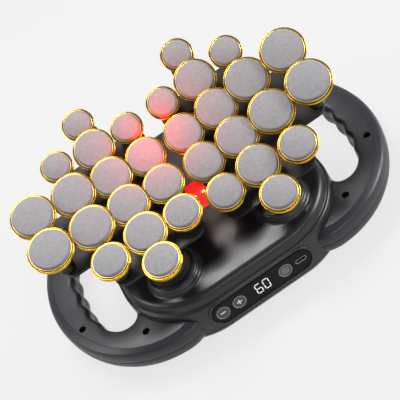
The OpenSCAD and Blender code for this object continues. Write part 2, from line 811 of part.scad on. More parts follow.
// Pistons: a rod with an eye at the top and a yoke at the foot
eye_w = lug_gap - 0.4;
eye_r = 4.6;
lug_clear = 1.4;
window_half_h = throw + shaft_r + throw + 0.4;
window_half_w = throw + shaft_r + 0.4;
yoke_half_h = window_half_h + yoke_wall;
yoke_half_w = window_half_w + yoke_wall;
function pin_height(end) = end == FRONT ? front_pin_z : rear_pin_z;
module at_piston(side, end) {
    translate([side * piston_x, end * piston_y, piston_lift(side, end)]) children();
}
module piston(side, end) {
    eye_z = pin_height(end);
    rod_z0 = shaft_z + yoke_half_h;
    rod_z1 = eye_z - lug_r - lug_clear;
    bore_r = end == FRONT ? pin_r + running_gap : pin_r;
    at_piston(side, end) difference() {
        union() {
            translate([0, 0, rod_z0]) cylinder(r = rod_r, h = rod_z1 - rod_z0);
            translate([-eye_w, -eye_r, rod_z1 - 1]) cube([2 * eye_w, 2 * eye_r, eye_z - rod_z1 + 1]);
            translate([-eye_w, 0, eye_z]) rotate([0, 90, 0]) cylinder(r = eye_r, h = 2 * eye_w);
        }
        translate([-far / 2, 0, eye_z]) rotate([0, 90, 0]) cylinder(r = bore_r, h = far);
    }
}
module yoke(side, end) {
    at_piston(side, end) translate([-yoke_t / 2, 0, shaft_z])
        rotate([90, 0, 90]) linear_extrude(height = yoke_t) difference() {
            square([2 * yoke_half_w, 2 * yoke_half_h], center = true);
            square([2 * window_half_w, 2 * window_half_h], center = true);
        }
}
module left_front_piston() {
    color("#b9bbbf") piston(LEFT, FRONT);
}
module left_rear_piston() {
    color("#b9bbbf") piston(LEFT, BACK);
}
module right_front_piston() {
    color("#b9bbbf") piston(RIGHT, FRONT);
}
module right_rear_piston() {
    color("#b9bbbf") piston(RIGHT, BACK);
}
module left_front_yoke() {
    color("#8f9296") yoke(LEFT, FRONT);
}
module left_rear_yoke() {
    color("#8f9296") yoke(LEFT, BACK);
}
module right_front_yoke() {
    color("#8f9296") yoke(RIGHT, FRONT);
}
module right_rear_yoke() {
    color("#8f9296") yoke(RIGHT, BACK);
}
// The front pin sits in the plate's lugs, and the rear pin in the piston's eye
pin_half = lug_gap + lug_t;
module clevis_pin(side, end) {
    at_piston(side, end) translate([-pin_half, 0, pin_height(end)])
        rotate([0, 90, 0]) cylinder(r = pin_r, h = 2 * pin_half);
}
module left_front_pin() {
    color("#c8cacd") clevis_pin(LEFT, FRONT);
}
module right_front_pin() {
    color("#c8cacd") clevis_pin(RIGHT, FRONT);
}
module left_rear_pin() {
    color("#c8cacd") clevis_pin(LEFT, BACK);
}
module right_rear_pin() {
    color("#c8cacd") clevis_pin(RIGHT, BACK);
}

// Ribbed boots round the clevises, from the boss up to the underside of the carrier plate
// A boot on a lowered piston is the same boot squeezed by the stroke
rib_pitch = 3;
rib_depth = 1.8;
boot_gap = 2;
boot_foot_h = 1.2;
front_ribs = 5;
rear_ribs = 20;
function ribs(end) = end == FRONT ? front_ribs : rear_ribs;
function boot_wall_r(end, k) = boot_r + (boot_top_r - boot_r) * k / (2 * ribs(end))
    - (k % 2 == 0 ? rib_depth : 0);
function boot_z(side, end, k) = let (
    full = ribs(end) * rib_pitch,
    height = piston_lift(side, end) > 0 ? full : full - stroke)
    boss_top + boot_foot_h + height * k / (2 * ribs(end));
module boot(side, end) {
    n = 2 * ribs(end);
    outer = [for (k = [0 : n]) [boot_wall_r(end, k), boot_z(side, end, k)]];
    inner = [for (k = [n : -1 : 0]) [boot_wall_r(end, k) - boot_t, boot_z(side, end, k)]];
    foot = [[boot_foot_r - 5, boss_top], [boot_foot_r, boss_top], [boot_foot_r, boss_top + boot_foot_h - 0.4],
        [boot_foot_r - 0.4, boss_top + boot_foot_h]];
    difference() {
        translate([side * piston_x, end * piston_y, 0]) rotate_extrude() polygon(concat(foot, outer, inner));
        group_frame(side) hollow_drum(plate_drop + boot_gap);
    }
}
module left_front_boot() {
    color("#141416") boot(LEFT, FRONT);
}
module left_rear_boot() {
    color("#141416") boot(LEFT, BACK);
}
module right_front_boot() {
    color("#141416") boot(RIGHT, FRONT);
}
module right_rear_boot() {
    color("#141416") boot(RIGHT, BACK);
}

// Drive frame on the floor, and the guide plate whose legs close the bearing seats
frame_z0 = foot_h + wall + 0.1;
frame_t = 2;
bearing_from_pin = yoke_t / 2 + 5;
bearing_xs = [piston_x - bearing_from_pin - bearing_w / 2, piston_x + bearing_from_pin + bearing_w / 2];
pedestal_d = 18;
guide_z = shaft_z + yoke_half_h + throw + 2;
guide_t = 3.5;
column_x = 78;
column_r = 4;
cross_d = 24;
spine_x0 = 12;
spine_x1 = 52;
guide_bar_x = (spine_x0 + spine_x1) / 2;
guide_bar_w = 12;
lamp_hole_w = 16;
module each_bearing() {
    for (sx = [-1, 1])
        for (sy = [-1, 1])
            for (bx = bearing_xs)
                translate([sx * bx, sy * piston_y, shaft_z]) rotate([0, 90, 0]) children();
}
module legs(z0, z1) {
    for (sx = [-1, 1])
        for (sy = [-1, 1])
            for (bx = bearing_xs)
                translate([sx * bx - bearing_w / 2, sy * piston_y - pedestal_d / 2, z0])
                    cube([bearing_w, pedestal_d, z1 - z0]);
}
module each_column() {
    for (sx = [-1, 1])
        for (sy = [-1, 1])
            translate([sx * column_x, sy * piston_y, 0]) children();
}
cradle_ws = [spine_x0 + 3, spine_x1 - 9];
cradle_w = 6;
cradle_half = motor_r + 5;
module drive_frame() {
    color("#5b5d61") difference() {
        union() {
            for (sy = [-1, 1])
                translate([-column_x - column_r, sy * piston_y - cross_d / 2, frame_z0])
                    cube([2 * (column_x + column_r), cross_d, frame_t]);
            translate([spine_x0, -piston_y, frame_z0]) cube([spine_x1 - spine_x0, 2 * piston_y, frame_t]);
            legs(frame_z0, shaft_z - 0.1);
            each_column() translate([0, 0, frame_z0]) cylinder(r = column_r, h = guide_z - frame_z0);
            for (x = cradle_ws)
                translate([x, -motor_y - cradle_half, frame_z0])
                    cube([cradle_w, 2 * cradle_half, shaft_z - frame_z0 - 2]);
        }
        each_bearing() cylinder(r = bearing_r, h = 2 * bearing_w, center = true);
        translate([spine_x0 - 1, -motor_y, shaft_z])
            rotate([0, 90, 0]) cylinder(r = motor_r, h = motor_length + 2);
        each_column() translate([0, 0, guide_z - screw_length]) cylinder(r = screw_r, h = screw_length + 1);
    }
}
module guide_plate() {
    color("#5b5d61") difference() {
        union() {
            for (sy = [-1, 1])
                translate([-column_x - column_r, sy * piston_y - cross_d / 2, guide_z])
                    cube([2 * (column_x + column_r), cross_d, guide_t]);
            for (sx = [-1, 1])
                translate([sx * guide_bar_x - guide_bar_w / 2, -piston_y, guide_z])
                    cube([guide_bar_w, 2 * piston_y, guide_t]);
            translate([-guide_bar_x, lamp_y - lamp_l / 2 - 2, guide_z])
                cube([2 * guide_bar_x, lamp_l + 4, guide_t]);
            legs(shaft_z + 0.1, guide_z + 0.5);
        }
        each_bearing() cylinder(r = bearing_r, h = 2 * bearing_w, center = true);
        for (sx = [-1, 1])
            for (sy = [-1, 1])
                translate([sx * piston_x, sy * piston_y, guide_z - 1])
                    cylinder(r = bush_r, h = guide_t + 2);
        each_column() translate([0, 0, guide_z - 1]) cylinder(r = screw_r + screw_slack, h = guide_t + 2);
        translate([-lamp_hole_w / 2, lamp_y - lamp_l / 2 + 4, guide_z - 1])
            cube([lamp_hole_w, lamp_l - 8, guide_t + 2]);
    }
}
bush_r = rod_r + 2.5;
bush_h = 7.5;
bush_rim_h = 1.2;
module guide_bushes() {
    color("#c08a3e") for (sx = [-1, 1])
        for (sy = [-1, 1])
            translate([sx * piston_x, sy * piston_y, guide_z]) rotate_extrude()
                polygon([[rod_r + running_gap, -1], [bush_r, -1], [bush_r, guide_t], [bush_r + 1.5, guide_t],
                    [bush_r + 1.5, guide_t + bush_rim_h], [rod_r + running_gap, guide_t + bush_rim_h]]);
}
module shaft_bearings() {
    color("#a9acb1") each_bearing() difference() {
        cylinder(r = bearing_r, h = bearing_w, center = true);
        cylinder(r = shaft_r + running_gap, h = bearing_w + 1, center = true);
    }
}
module frame_screws() {
    color("#6f7074") each_column() translate([0, 0, guide_z + guide_t]) recessed_screw(screw_length);
}

// A crankshaft: journals, webs and a crank pin under each piston
web_t = 3;
pin_side = yoke_t / 2 + 0.6;
shaft_end = piston_x + bearing_from_pin + bearing_w + 2;
module x_rod(x0, x1, r) {
    translate([x0, 0, 0]) rotate([0, 90, 0]) cylinder(r = r, h = x1 - x0);
}
module crankshaft(end) {
    translate([0, end * piston_y, shaft_z]) union() {
        x_rod(-piston_x + pin_side, piston_x - pin_side, shaft_r);
        for (side = [LEFT, RIGHT])
            mirror([side == LEFT ? 1 : 0, 0, 0]) {
                x_rod(piston_x + pin_side, shaft_end, shaft_r);
                x_rod(piston_x - pin_side - web_t, piston_x - pin_side, web_r);
                x_rod(piston_x + pin_side, piston_x + pin_side + web_t, web_r);
                translate([0, 0, piston_lift(side, end)])
                    x_rod(piston_x - pin_side - 1, piston_x + pin_side + 1, shaft_r);
            }
    }
}
module front_crankshaft() {
    color("#9a9da2") crankshaft(FRONT);
}
module rear_crankshaft() {
    color("#9a9da2") crankshaft(BACK);
}

// Pulleys and belts
belt_w = 6;
belt_t = 1.2;
flange_t = 0.8;
flange_h = 1.6;
drive_x = 2;
timing_x = -11;
module pulley(r, bore) {
    rotate([0, 90, 0]) difference() {
        rotate_extrude() polygon([[0, 0], [r + flange_h, 0], [r + flange_h, flange_t], [r, flange_t],
            [r, flange_t + belt_w + 0.4], [r + flange_h, flange_t + belt_w + 0.4],
            [r + flange_h, 2 * flange_t + belt_w + 0.4], [0, 2 * flange_t + belt_w + 0.4]]);
        translate([0, 0, -1]) cylinder(r = bore, h = belt_w + 4);
    }
}
module front_pulleys() {
    color("#3f4145") {
        translate([drive_x, -piston_y, shaft_z]) pulley(drive_pulley_r, shaft_r);
        translate([timing_x, -piston_y, shaft_z]) pulley(timing_r, shaft_r);
    }
}
module rear_pulley() {
    color("#3f4145") translate([timing_x, piston_y, shaft_z]) pulley(timing_r, shaft_r);
}
module motor_pulley() {
    color("#3f4145") translate([drive_x, -motor_y, shaft_z]) pulley(motor_pulley_r, motor_shaft_r);
}
// The plan of an open belt round pulleys of radius ra at the origin and rb at distance d
module belt_plan(ra, rb, d) {
    hull() {
        circle(r = ra, $fn = 96);
        translate([d, 0]) circle(r = rb, $fn = 96);
    }
}
module belt(ra, rb, d) {
    rotate([90, 0, 90]) linear_extrude(height = belt_w) difference() {
        belt_plan(ra + belt_t + running_gap, rb + belt_t + running_gap, d);
        belt_plan(ra + running_gap, rb + running_gap, d);
    }
}
module drive_belt() {
    color("#1a1a1a") translate([drive_x + flange_t + 0.2, -piston_y, shaft_z])
        belt(drive_pulley_r, motor_pulley_r, piston_y - motor_y);
}
module timing_belt() {
    color("#1a1a1a") translate([timing_x + flange_t + 0.2, -piston_y, shaft_z])
        belt(timing_r, timing_r, 2 * piston_y);
}

// Motor, across the body in front of the middle
motor_shaft_r = 1.5;
motor_x0 = drive_x + belt_w + 5;
module motor() {
    color("#85888d") translate([motor_x0, -motor_y, shaft_z]) rotate([0, 90, 0]) difference() {
        union() {
            cylinder(r = motor_r, h = motor_length);
            translate([0, 0, -1.5]) cylinder(r = 4, h = 1.6);
            translate([0, 0, motor_length - 0.1]) cylinder(r = 4, h = 1.6);
        }
        translate([0, 0, -2]) cylinder(r = motor_shaft_r + running_gap, h = 12);
    }
}
module motor_shaft() {
    color("#c8cacd") translate([0, -motor_y, shaft_z]) x_rod(drive_x - 1, motor_x0 + 9, motor_shaft_r);
}
strap_t = 1.6;
module strap_plan() {
    difference() {
        union() {
            circle(r = motor_r + strap_t);
            translate([-cradle_half, -2]) square([2 * cradle_half, strap_t]);
        }
        circle(r = motor_r);
        translate([-far / 2, -far / 2 - 2]) square([far, far / 2]);
    }
}
module motor_strap() {
    color("#6a6c70") for (x = cradle_ws)
        translate([x + cradle_w, -motor_y, shaft_z])
            rotate([90, 0, -90]) linear_extrude(height = cradle_w) strap_plan();
}

// Battery and electronics
cell_r = 9.1;
cell_l = 65;
cell_pitch = 19.4;
cells_x = -52;
tray_t = 2;
tray_wall = 1.6;
tray_rise = 8;
cell_z = frame_z0 + tray_t + cell_r;
module each_cell() {
    for (k = [-1 : 1])
        translate([cells_x + k * cell_pitch, 0, cell_z]) rotate([90, 0, 0]) children();
}
module battery_cells() {
    color("#2f6fb0") each_cell() union() {
        cylinder(r = cell_r, h = cell_l, center = true);
        cylinder(r = 2.8, h = cell_l + 1, center = true);
    }
}
tray_half_w = 1.5 * cell_pitch + 0.6;
tray_half_l = cell_l / 2 + 0.8;
module battery_tray() {
    color("#232326") difference() {
        translate([cells_x - tray_half_w - tray_wall, -tray_half_l - tray_wall, frame_z0])
            cube([2 * (tray_half_w + tray_wall), 2 * (tray_half_l + tray_wall), tray_t + tray_rise]);
        translate([cells_x - tray_half_w, -tray_half_l, frame_z0 + tray_t])
            cube([2 * tray_half_w, 2 * tray_half_l, tray_t + tray_rise]);
    }
}
main_board_w = 22;
board_x1 = body_w / 2 - 8;
board_x0 = board_x1 - main_board_w;
board_half = 32;
board_z = 12;
board_post_r = 2.5;
board_post_inset = 3;
relay = [8, 16, 5];
relay_y = -22;
chip = [9, 9, 1.2];
can_r = 4;
can_h = 10;
can_at = [6, 16];
small_can_r = 3.2;
small_can_h = 8;
small_can_at = [5, 18];
module main_board() {
    color("#1d5a3a") difference() {
        union() {
            translate([board_x0, -board_half, board_z]) cube([main_board_w, 2 * board_half, board_t]);
            translate([board_x0 + 2, relay_y, board_z + board_t]) cube(relay);
            translate([board_x1 - chip[0] - 2, -chip[1] / 2, board_z + board_t]) cube(chip);
            translate([board_x0 + can_at[0], can_at[1], board_z + board_t]) cylinder(r = can_r, h = can_h);
            translate([board_x1 - small_can_at[0], small_can_at[1], board_z + board_t])
                cylinder(r = small_can_r, h = small_can_h);
        }
        each_board_post() cylinder(r = board_hole_r, h = board_z + 2 * board_t);
    }
}
module each_board_post() {
    for (x = [board_x0 + board_post_inset, board_x1 - board_post_inset])
        for (sy = [-1, 1])
            translate([x, sy * (board_half - board_post_inset), 0]) children();
}

bottom_housing();
top_cover();
left_handle_cover();
right_handle_cover();
handle_screws();
housing_screws();
rubber_feet();
control_strip();
display_window();
display_module();
control_board();
key_switches();
minus_key();
plus_key();
mode_key();
charging_port();
lamp_window();
lamp_board();
left_carrier_plate();
left_head_necks();
left_head_cups();
left_head_pads();
right_carrier_plate();
right_head_necks();
right_head_cups();
right_head_pads();
left_front_boot();
left_rear_boot();
right_front_boot();
right_rear_boot();
left_front_piston();
left_rear_piston();
right_front_piston();
right_rear_piston();
left_front_yoke();
left_rear_yoke();
right_front_yoke();
right_rear_yoke();
left_front_pin();
left_rear_pin();
right_front_pin();
right_rear_pin();
guide_plate();
guide_bushes();
drive_frame();
frame_screws();
shaft_bearings();
front_crankshaft();
rear_crankshaft();
front_pulleys();
rear_pulley();
motor();
motor_shaft();
motor_pulley();
motor_strap();
drive_belt();
timing_belt();
battery_cells();
battery_tray();
main_board();
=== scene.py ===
"""Handheld deep tissue massager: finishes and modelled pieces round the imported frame."""
import math
import bmesh
import bpy
from mathutils import Matrix, Vector


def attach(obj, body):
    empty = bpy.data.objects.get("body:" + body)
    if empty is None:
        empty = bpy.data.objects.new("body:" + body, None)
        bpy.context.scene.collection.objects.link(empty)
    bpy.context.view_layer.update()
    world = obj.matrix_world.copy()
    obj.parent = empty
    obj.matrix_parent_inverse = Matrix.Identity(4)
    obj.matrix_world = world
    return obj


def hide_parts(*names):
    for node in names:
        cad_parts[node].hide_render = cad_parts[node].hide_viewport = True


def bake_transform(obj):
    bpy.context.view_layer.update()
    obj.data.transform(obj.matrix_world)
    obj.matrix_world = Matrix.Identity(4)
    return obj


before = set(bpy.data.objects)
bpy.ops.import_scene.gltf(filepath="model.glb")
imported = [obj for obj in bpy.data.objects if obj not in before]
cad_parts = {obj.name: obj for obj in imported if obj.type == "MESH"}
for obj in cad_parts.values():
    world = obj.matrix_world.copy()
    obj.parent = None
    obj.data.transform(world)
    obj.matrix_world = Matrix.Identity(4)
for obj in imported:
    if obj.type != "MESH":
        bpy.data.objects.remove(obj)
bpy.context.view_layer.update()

# Sizes below are in millimetres, and the functions that make meshes turn them into metres
MM = 0.001
LEFT, RIGHT, FRONT, BACK = -1, 1, -1, 1
SIDES = ((LEFT, "left"), (RIGHT, "right"))
ENDS = ((FRONT, "front"), (BACK, "rear"))

# Camera, matched to the photograph of 400 by 400 pixels
PHOTO_SIZE = 400
SENSOR_W = 36
FOCAL_PIXELS = 900
CAMERA_PLACE = (-1.9, -615.4, 636.3)
CAMERA_PITCH = math.radians(43.71)
CAMERA_ROLL = math.radians(34.42)

# Body, as the frame has it. The feet hold the shell FOOT_H up, and the pan is the bottom shell's tray
BODY_HALF_W = 109
BODY_HALF_D = 116.5
BODY_CORNER = 70
COVER_TOP = 57
PAN_TOP = 15
FOOT_H = 3
SEAM = 0.3
WALL = 2.4
STRIP_LEAN = 9
STRIP_MIDDLE = (0, -115.45, 31.5)
STRIP_W, STRIP_H = 102, 22.5
BOSS_TOP = 65
BOSS_R = 23.5
BOSS_FOOT_R = 28.5
BOSS_HOLE_R = 16

# Handles, as the frame has them
HALF_SPAN = 181
HANDLE_HALF_D = 116.5
GRIP_W = 32
# The outer curve starts ARM_IN inside the body's side, and the gap for the fingers GAP_IN
ARM_IN, GAP_IN = 30, 2
ARM_X = BODY_HALF_W - ARM_IN
ARM_RUN, ARM_DRAW, ARM_END = 29, 13, 12
GAP_CORNER = 12
GAP_X = BODY_HALF_W + GAP_CORNER - GAP_IN
GAP_HALF = 72
GAP_POWER = 0.9
WAVE_DEPTH, WAVE_PITCH, WAVES_EACH_WAY = 2.2, 23, 2.5
SPLIT_Z = 25
DECK_Z = 39
SCREW_RECESS_R, SCREW_RECESS_DEPTH = 3.6, 6
# Degrees round the handle, and the share of the way from its inner to its outer edge
SCREW_SPOTS = ((27, 0.5), (87, 0.4))

# Head groups and pistons, as the frame has them
PISTON_X, PISTON_Y = 56.9, 69
STROKE = 8
FRONT_PIN_Z, REAR_PIN_Z = 68, 108
HEAD_Z = 109
GROUP_SLOPE = math.radians(16)
HOLLOW_R = 480
HEAD_LEAN = math.radians(11)
SIDE_LEAN = math.radians(5)
DISH = 9.2
PLATE_DROP, PLATE_T = 17.5, 3
# A cup stands RIM_W out round its pad. Heights on a head count from the hollow that the heads follow:
# the pad sits PAD_SEAT below it, and its crown is PAD_CROWN above it
CUP_H = 9
RIM_W = 3
PAD_SEAT = 1.4
PAD_ROLL, PAD_CROWN = 2.2, 4.3
NECK_R, NECK_FLANGE = 7, 1.2
LIP_BEAD, RIM_BEAD, WAIST_BEAD = 0.6, 0.85, 0.8
# How far the four columns of a group are from the middle of the object
COLUMNS = [20.4, PISTON_X, 94.4, 134.6]
# Radii of the pads: the large ones by column, then the small ones in front and behind
INNER_R, SECOND_R, OUTER_R, FRONT_R, BACK_R = 16.6, 17.4, 18.6, 15.0, 12.9
ROW_PITCH, OUTER_GAP, OUTER_SHIFT = 36.4, 41.4, -3.5
SMALL_ROW, THIRD_FRONT_ROW, FRONT_END_ROW, BACK_END_ROW = 56.5, 64, 91, 86.5
LAMP_Y, LAMP_W, LAMP_L, LAMP_CORNER = -2, 25, 38, 8
LAMP_SPOTS = [(-4.2, -2.4), (5.2, -2.4)]


def linear(code):
    """An sRGB hex colour as linear red, green, blue and alpha."""
    parts = [int(code[i:i + 2], 16) / 255 for i in (1, 3, 5)]
    return [p / 12.92 if p <= 0.04045 else ((p + 0.055) / 1.055) ** 2.4 for p in parts] + [1.0]


def add_node(tree, kind, settings=None, inputs=None):
    """Adds a node; an input is a value, or an output socket to link from."""
    node = tree.nodes.new(kind)
    for key, value in (settings or {}).items():
        setattr(node, key, value)
    for key, value in (inputs or {}).items():
        if isinstance(value, bpy.types.NodeSocket):
            tree.links.new(value, node.inputs[key])
        else:
            node.inputs[key].default_value = value
    return node


def start_material(name):
    """A new material with its shader, and the object coordinates for patterns."""
    material = bpy.data.materials.new(name)
    material.use_nodes = True
    tree = material.node_tree
    place = tree.nodes.new("ShaderNodeTexCoord").outputs["Object"]
    return material, tree, tree.nodes["Principled BSDF"], place


def set_shader(shader, **values):
    """Sets the shader's own sockets, named with underscores for spaces."""
    for key, value in values.items():
        shader.inputs[key.replace("_", " ")].default_value = value


def mould_grain(tree, shader, place, grain, height, strength):
    """A fine pebbled bump, as a spark-eroded mould leaves it; grain is its width."""
    noise = add_node(tree, "ShaderNodeTexNoise", {},
                     {"Vector": place, "Scale": 1 / (grain * MM), "Detail": 2.0})
    bump = add_node(tree, "ShaderNodeBump", {}, {"Height": noise.outputs["Fac"], "Distance": height * MM,
                                                 "Strength": strength})
    tree.links.new(bump.outputs["Normal"], shader.inputs["Normal"])
    return noise


def uneven_roughness(tree, shader, place, patch, low, high):
    """Handling leaves the gloss a little uneven, in patches as wide as patch, from low to high."""
    noise = add_node(tree, "ShaderNodeTexNoise", {},
                     {"Vector": place, "Scale": 1 / (patch * MM), "Detail": 3.0})
    spread = add_node(tree, "ShaderNodeMapRange", {}, {"Value": noise.outputs["Fac"], "From Min": 0.3,
                                                       "From Max": 0.7, "To Min": low, "To Max": high})
    tree.links.new(spread.outputs["Result"], shader.inputs["Roughness"])


def satin_abs(name, code, low, high):
    """Injection-moulded ABS from a lightly textured tool: a soft sheen with no sharp reflections."""
    material, tree, shader, place = start_material(name)
    set_shader(shader, Base_Color=linear(code), IOR=1.53)
    uneven_roughness(tree, shader, place, 18, low, high)
    mould_grain(tree, shader, place, 0.45, 0.02, 0.4)
    return material


def polished_abs(name, code, roughness, coat):
    """ABS from a polished tool: clear reflections over a dark body."""
    material, tree, shader, place = start_material(name)
    set_shader(shader, Base_Color=linear(code), IOR=1.53, Coat_Weight=coat, Coat_Roughness=0.06)
    uneven_roughness(tree, shader, place, 25, roughness * 0.9, roughness * 1.15)
    return material


def plain_plastic(name, code, roughness):
    """Moulded plastic with an even finish, for small parts and printed marks."""
    material, tree, shader, place = start_material(name)
    set_shader(shader, Base_Color=linear(code), IOR=1.5)
    uneven_roughness(tree, shader, place, 9, roughness * 0.9, roughness * 1.15)
    return material


def electroplate(name, code, low, high):
    """Bright plating on moulded cups: a mirror metal, with faint swirls from polishing."""
    material, tree, shader, place = start_material(name)
    set_shader(shader, Base_Color=linear(code), Metallic=1.0)
    uneven_roughness(tree, shader, place, 4, low, high)
    mould_grain(tree, shader, place, 1.2, 0.01, 0.25)
    return material


def pad_fabric(name):
    """Grey brushed fabric over firm foam: a fine close nap, dull, with a slight pale sheen at the edges."""
    material, tree, shader, place = start_material(name)
    set_shader(shader, Roughness=0.92, Sheen_Weight=0.2, Sheen_Roughness=0.5, IOR=1.4)
    cloud = add_node(tree, "ShaderNodeTexNoise", {}, {"Vector": place, "Scale": 1 / (3 * MM), "Detail": 3.0})
    nap = add_node(tree, "ShaderNodeTexNoise", {}, {"Vector": place, "Scale": 1 / (0.6 * MM), "Detail": 3.0})
    both = add_node(tree, "ShaderNodeMath", {"operation": "MULTIPLY_ADD"},
                    {0: nap.outputs["Fac"], 1: 0.8, 2: cloud.outputs["Fac"]})
    tone = add_node(tree, "ShaderNodeMapRange", {}, {"Value": both.outputs["Value"], "From Min": 0.65,
                                                     "From Max": 1.15})
    colour = add_node(tree, "ShaderNodeMix", {"data_type": "RGBA"},
                      {"Factor": tone.outputs["Result"], "A": linear("#969497"), "B": linear("#a4a2a5")})
    tree.links.new(colour.outputs["Result"], shader.inputs["Base Color"])
    bump = add_node(tree, "ShaderNodeBump", {}, {"Height": nap.outputs["Fac"], "Distance": 0.15 * MM,
                                                 "Strength": 0.7})
    tree.links.new(bump.outputs["Normal"], shader.inputs["Normal"])
    return material


def black_panel(name):
    """Smoked acrylic with an anti-glare finish: near black, with hardly any reflection."""
    material, tree, shader, place = start_material(name)
    set_shader(shader, Base_Color=linear("#030304"), IOR=1.49, Specular_IOR_Level=0.2)
    uneven_roughness(tree, shader, place, 12, 0.28, 0.36)
    return material


def soft_rubber(name):
    """Moulded silicone rubber: black, dull, with a dusty bloom in patches."""
    material, tree, shader, place = start_material(name)
    set_shader(shader, Base_Color=linear("#0b0b0d"), IOR=1.43)
    uneven_roughness(tree, shader, place, 6, 0.5, 0.62)
    return material


def turned_steel(name, code, low, high):
    """Turned or ground steel, with fine tool marks that blur its reflections."""
    material, tree, shader, place = start_material(name)
    set_shader(shader, Base_Color=linear(code), Metallic=1.0)
    uneven_roughness(tree, shader, place, 2, low, high)
    return material


def lit(name, code, strength):
    """A lit lamp or display segment, or a printed mark with a painted glow: it shows its own light, whatever
    falls on it.
    """
    material, _, shader, _ = start_material(name)
    set_shader(shader, Base_Color=linear(code), Roughness=0.4, Emission_Color=linear(code),
               Emission_Strength=strength)
    return material


def lit_window(name):
    """Red polycarbonate lit from below: deep red, and brighter over each lamp."""
    material, tree, shader, place = start_material(name)
    set_shader(shader, Base_Color=linear("#900404"), Roughness=0.3, IOR=1.58, Specular_IOR_Level=0.25)
    nearest = None
    for x, y in LAMP_SPOTS:
        spot = add_node(tree, "ShaderNodeVectorMath", {"operation": "DISTANCE"},
                        {0: place, 1: (x * MM, y * MM, COVER_TOP * MM)})
        if nearest is None:
            nearest = spot.outputs["Value"]
        else:
            nearest = add_node(tree, "ShaderNodeMath", {"operation": "MINIMUM"},
                               {0: nearest, 1: spot.outputs["Value"]}).outputs["Value"]
    near = add_node(tree, "ShaderNodeMapRange", {},
                    {"Value": nearest, "From Min": 1.2 * MM, "From Max": 9 * MM,
                     "To Min": 1.0, "To Max": 0.0})
    glow = add_node(tree, "ShaderNodeMix", {"data_type": "RGBA"},
                    {"Factor": near.outputs["Result"], "A": linear("#e60306"), "B": linear("#ff3a14")})
    tree.links.new(glow.outputs["Result"], shader.inputs["Emission Color"])
    set_shader(shader, Emission_Strength=0.9)
    return material


CHARCOAL = satin_abs("satin_charcoal_abs", "#2b2a31", 0.34, 0.44)
COVER = polished_abs("polished_cover_abs", "#1f1e22", 0.32, 0.0)
STRIP_BLACK = black_panel("black_acrylic")
GOLD = electroplate("gold_electroplate", "#efbb2a", 0.14, 0.22)
# Painted highlight: a paler gold for the lip beside the pad, standing in for the light it catches
PAINTED_HIGHLIGHT_GOLD = electroplate("pale_gold_lip_painted_highlight", "#ffe8ae", 0.3, 0.4)
# Painted shade: a dark amber gold for the grooves between the cup's beads
PAINTED_SHADE_GOLD = electroplate("gold_groove_painted_shade", "#5a3d06", 0.3, 0.4)
PAD = pad_fabric("grey_brushed_pad_fabric")
RUBBER = soft_rubber("black_silicone_rubber")
NYLON = polished_abs("black_nylon", "#0e0e10", 0.4, 0.0)
CARRIER = polished_abs("carrier_black_nylon", "#1b1b1e", 0.5, 0.0)
KEY_GREY = polished_abs("key_grey_abs", "#3c3d41", 0.3, 0.3)
KEY_RING = plain_plastic("key_ring_grey", "#8d8e93", 0.35)
# Printed marks given a faint glow of their own, as painted light: no lamp is in them
GLOWING_PRINT_WHITE = lit("printed_white_painted_glow", "#e8e8ea", 0.25)
# The grey print glows a little too, as painted light
GLOWING_PRINT_GREY = lit("printed_grey_painted_glow", "#a9aab0", 0.15)
SOCKET_GREY = plain_plastic("socket_grey", "#4a4b4f", 0.4)
STEEL = turned_steel("turned_steel", "#b9bbbf", 0.25, 0.4)
SCREW_BLACK = turned_steel("blackened_screw_steel", "#1b1b1e", 0.35, 0.5)
BRONZE = turned_steel("sintered_bronze", "#b07c3c", 0.35, 0.5)
GREY_NYLON = plain_plastic("grey_glass_filled_nylon", "#5b5d61", 0.55)
BOARD = plain_plastic("green_solder_mask", "#1d5a3a", 0.35)
CELL = plain_plastic("blue_cell_sleeve", "#2f6fb0", 0.3)
WHITE = plain_plastic("white_board_lacquer", "#dcdad3", 0.45)
RED_WINDOW = lit_window("lit_red_polycarbonate")
LAMP_GLOW = lit("lit_lamp", "#ffe2a0", 3.0)
DIGIT_GLOW = lit("lit_display_segment", "#dcdde0", 0.75)

NODE_MATERIALS = {
    "handle_screws": SCREW_BLACK, "housing_screws": STEEL, "frame_screws": STEEL, "rubber_feet": RUBBER,
    "display_window": STRIP_BLACK, "display_module": NYLON, "control_board": BOARD, "key_switches": WHITE,
    "charging_port": SOCKET_GREY, "lamp_window": RED_WINDOW, "lamp_board": WHITE,
    "left_carrier_plate": CARRIER, "right_carrier_plate": CARRIER, "guide_plate": GREY_NYLON,
    "guide_bushes": BRONZE, "drive_frame": GREY_NYLON, "front_pulleys": GREY_NYLON,
    "rear_pulley": GREY_NYLON, "motor_pulley": GREY_NYLON, "drive_belt": RUBBER, "timing_belt": RUBBER,
    "battery_cells": CELL, "battery_tray": NYLON, "main_board": BOARD, "control_strip": STRIP_BLACK,
    "bottom_housing": CHARCOAL, "top_cover": COVER, "left_handle_cover": CHARCOAL,
    "right_handle_cover": CHARCOAL, "minus_key": KEY_GREY, "plus_key": KEY_GREY, "mode_key": KEY_GREY,
}
ENDING_MATERIALS = {"_boot": RUBBER, "_pads": PAD, "_cups": GOLD, "_necks": NYLON, "_yoke": GREY_NYLON}


def finish_nodes():
    """Every carried-over node gets its finish; what isn't named is turned steel."""
    for name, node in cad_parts.items():
        by_ending = [kind for ending, kind in ENDING_MATERIALS.items() if name.endswith(ending)]
        finish = NODE_MATERIALS.get(name) or (by_ending + [STEEL])[0]
        node.data.materials.clear()
        node.data.materials.append(finish)


# Modelling helpers. A point on the axis of a turned piece is a tiny ring, and doubles nearer than
# MERGE, in metres, are merged, which closes that ring
AXIS_R = 0.001
MERGE = 0.000005
SMOOTH_ANGLE = 35


def start_fresh():
    """Object mode, with nothing selected."""
    if bpy.context.object is not None and bpy.context.object.mode != "OBJECT":
        bpy.ops.object.mode_set(mode="OBJECT")
    bpy.ops.object.select_all(action="DESELECT")


def take(obj):
    """Selects one piece, and makes it the one that operators act on."""
    start_fresh()
    obj.select_set(True)
    bpy.context.view_layer.objects.active = obj


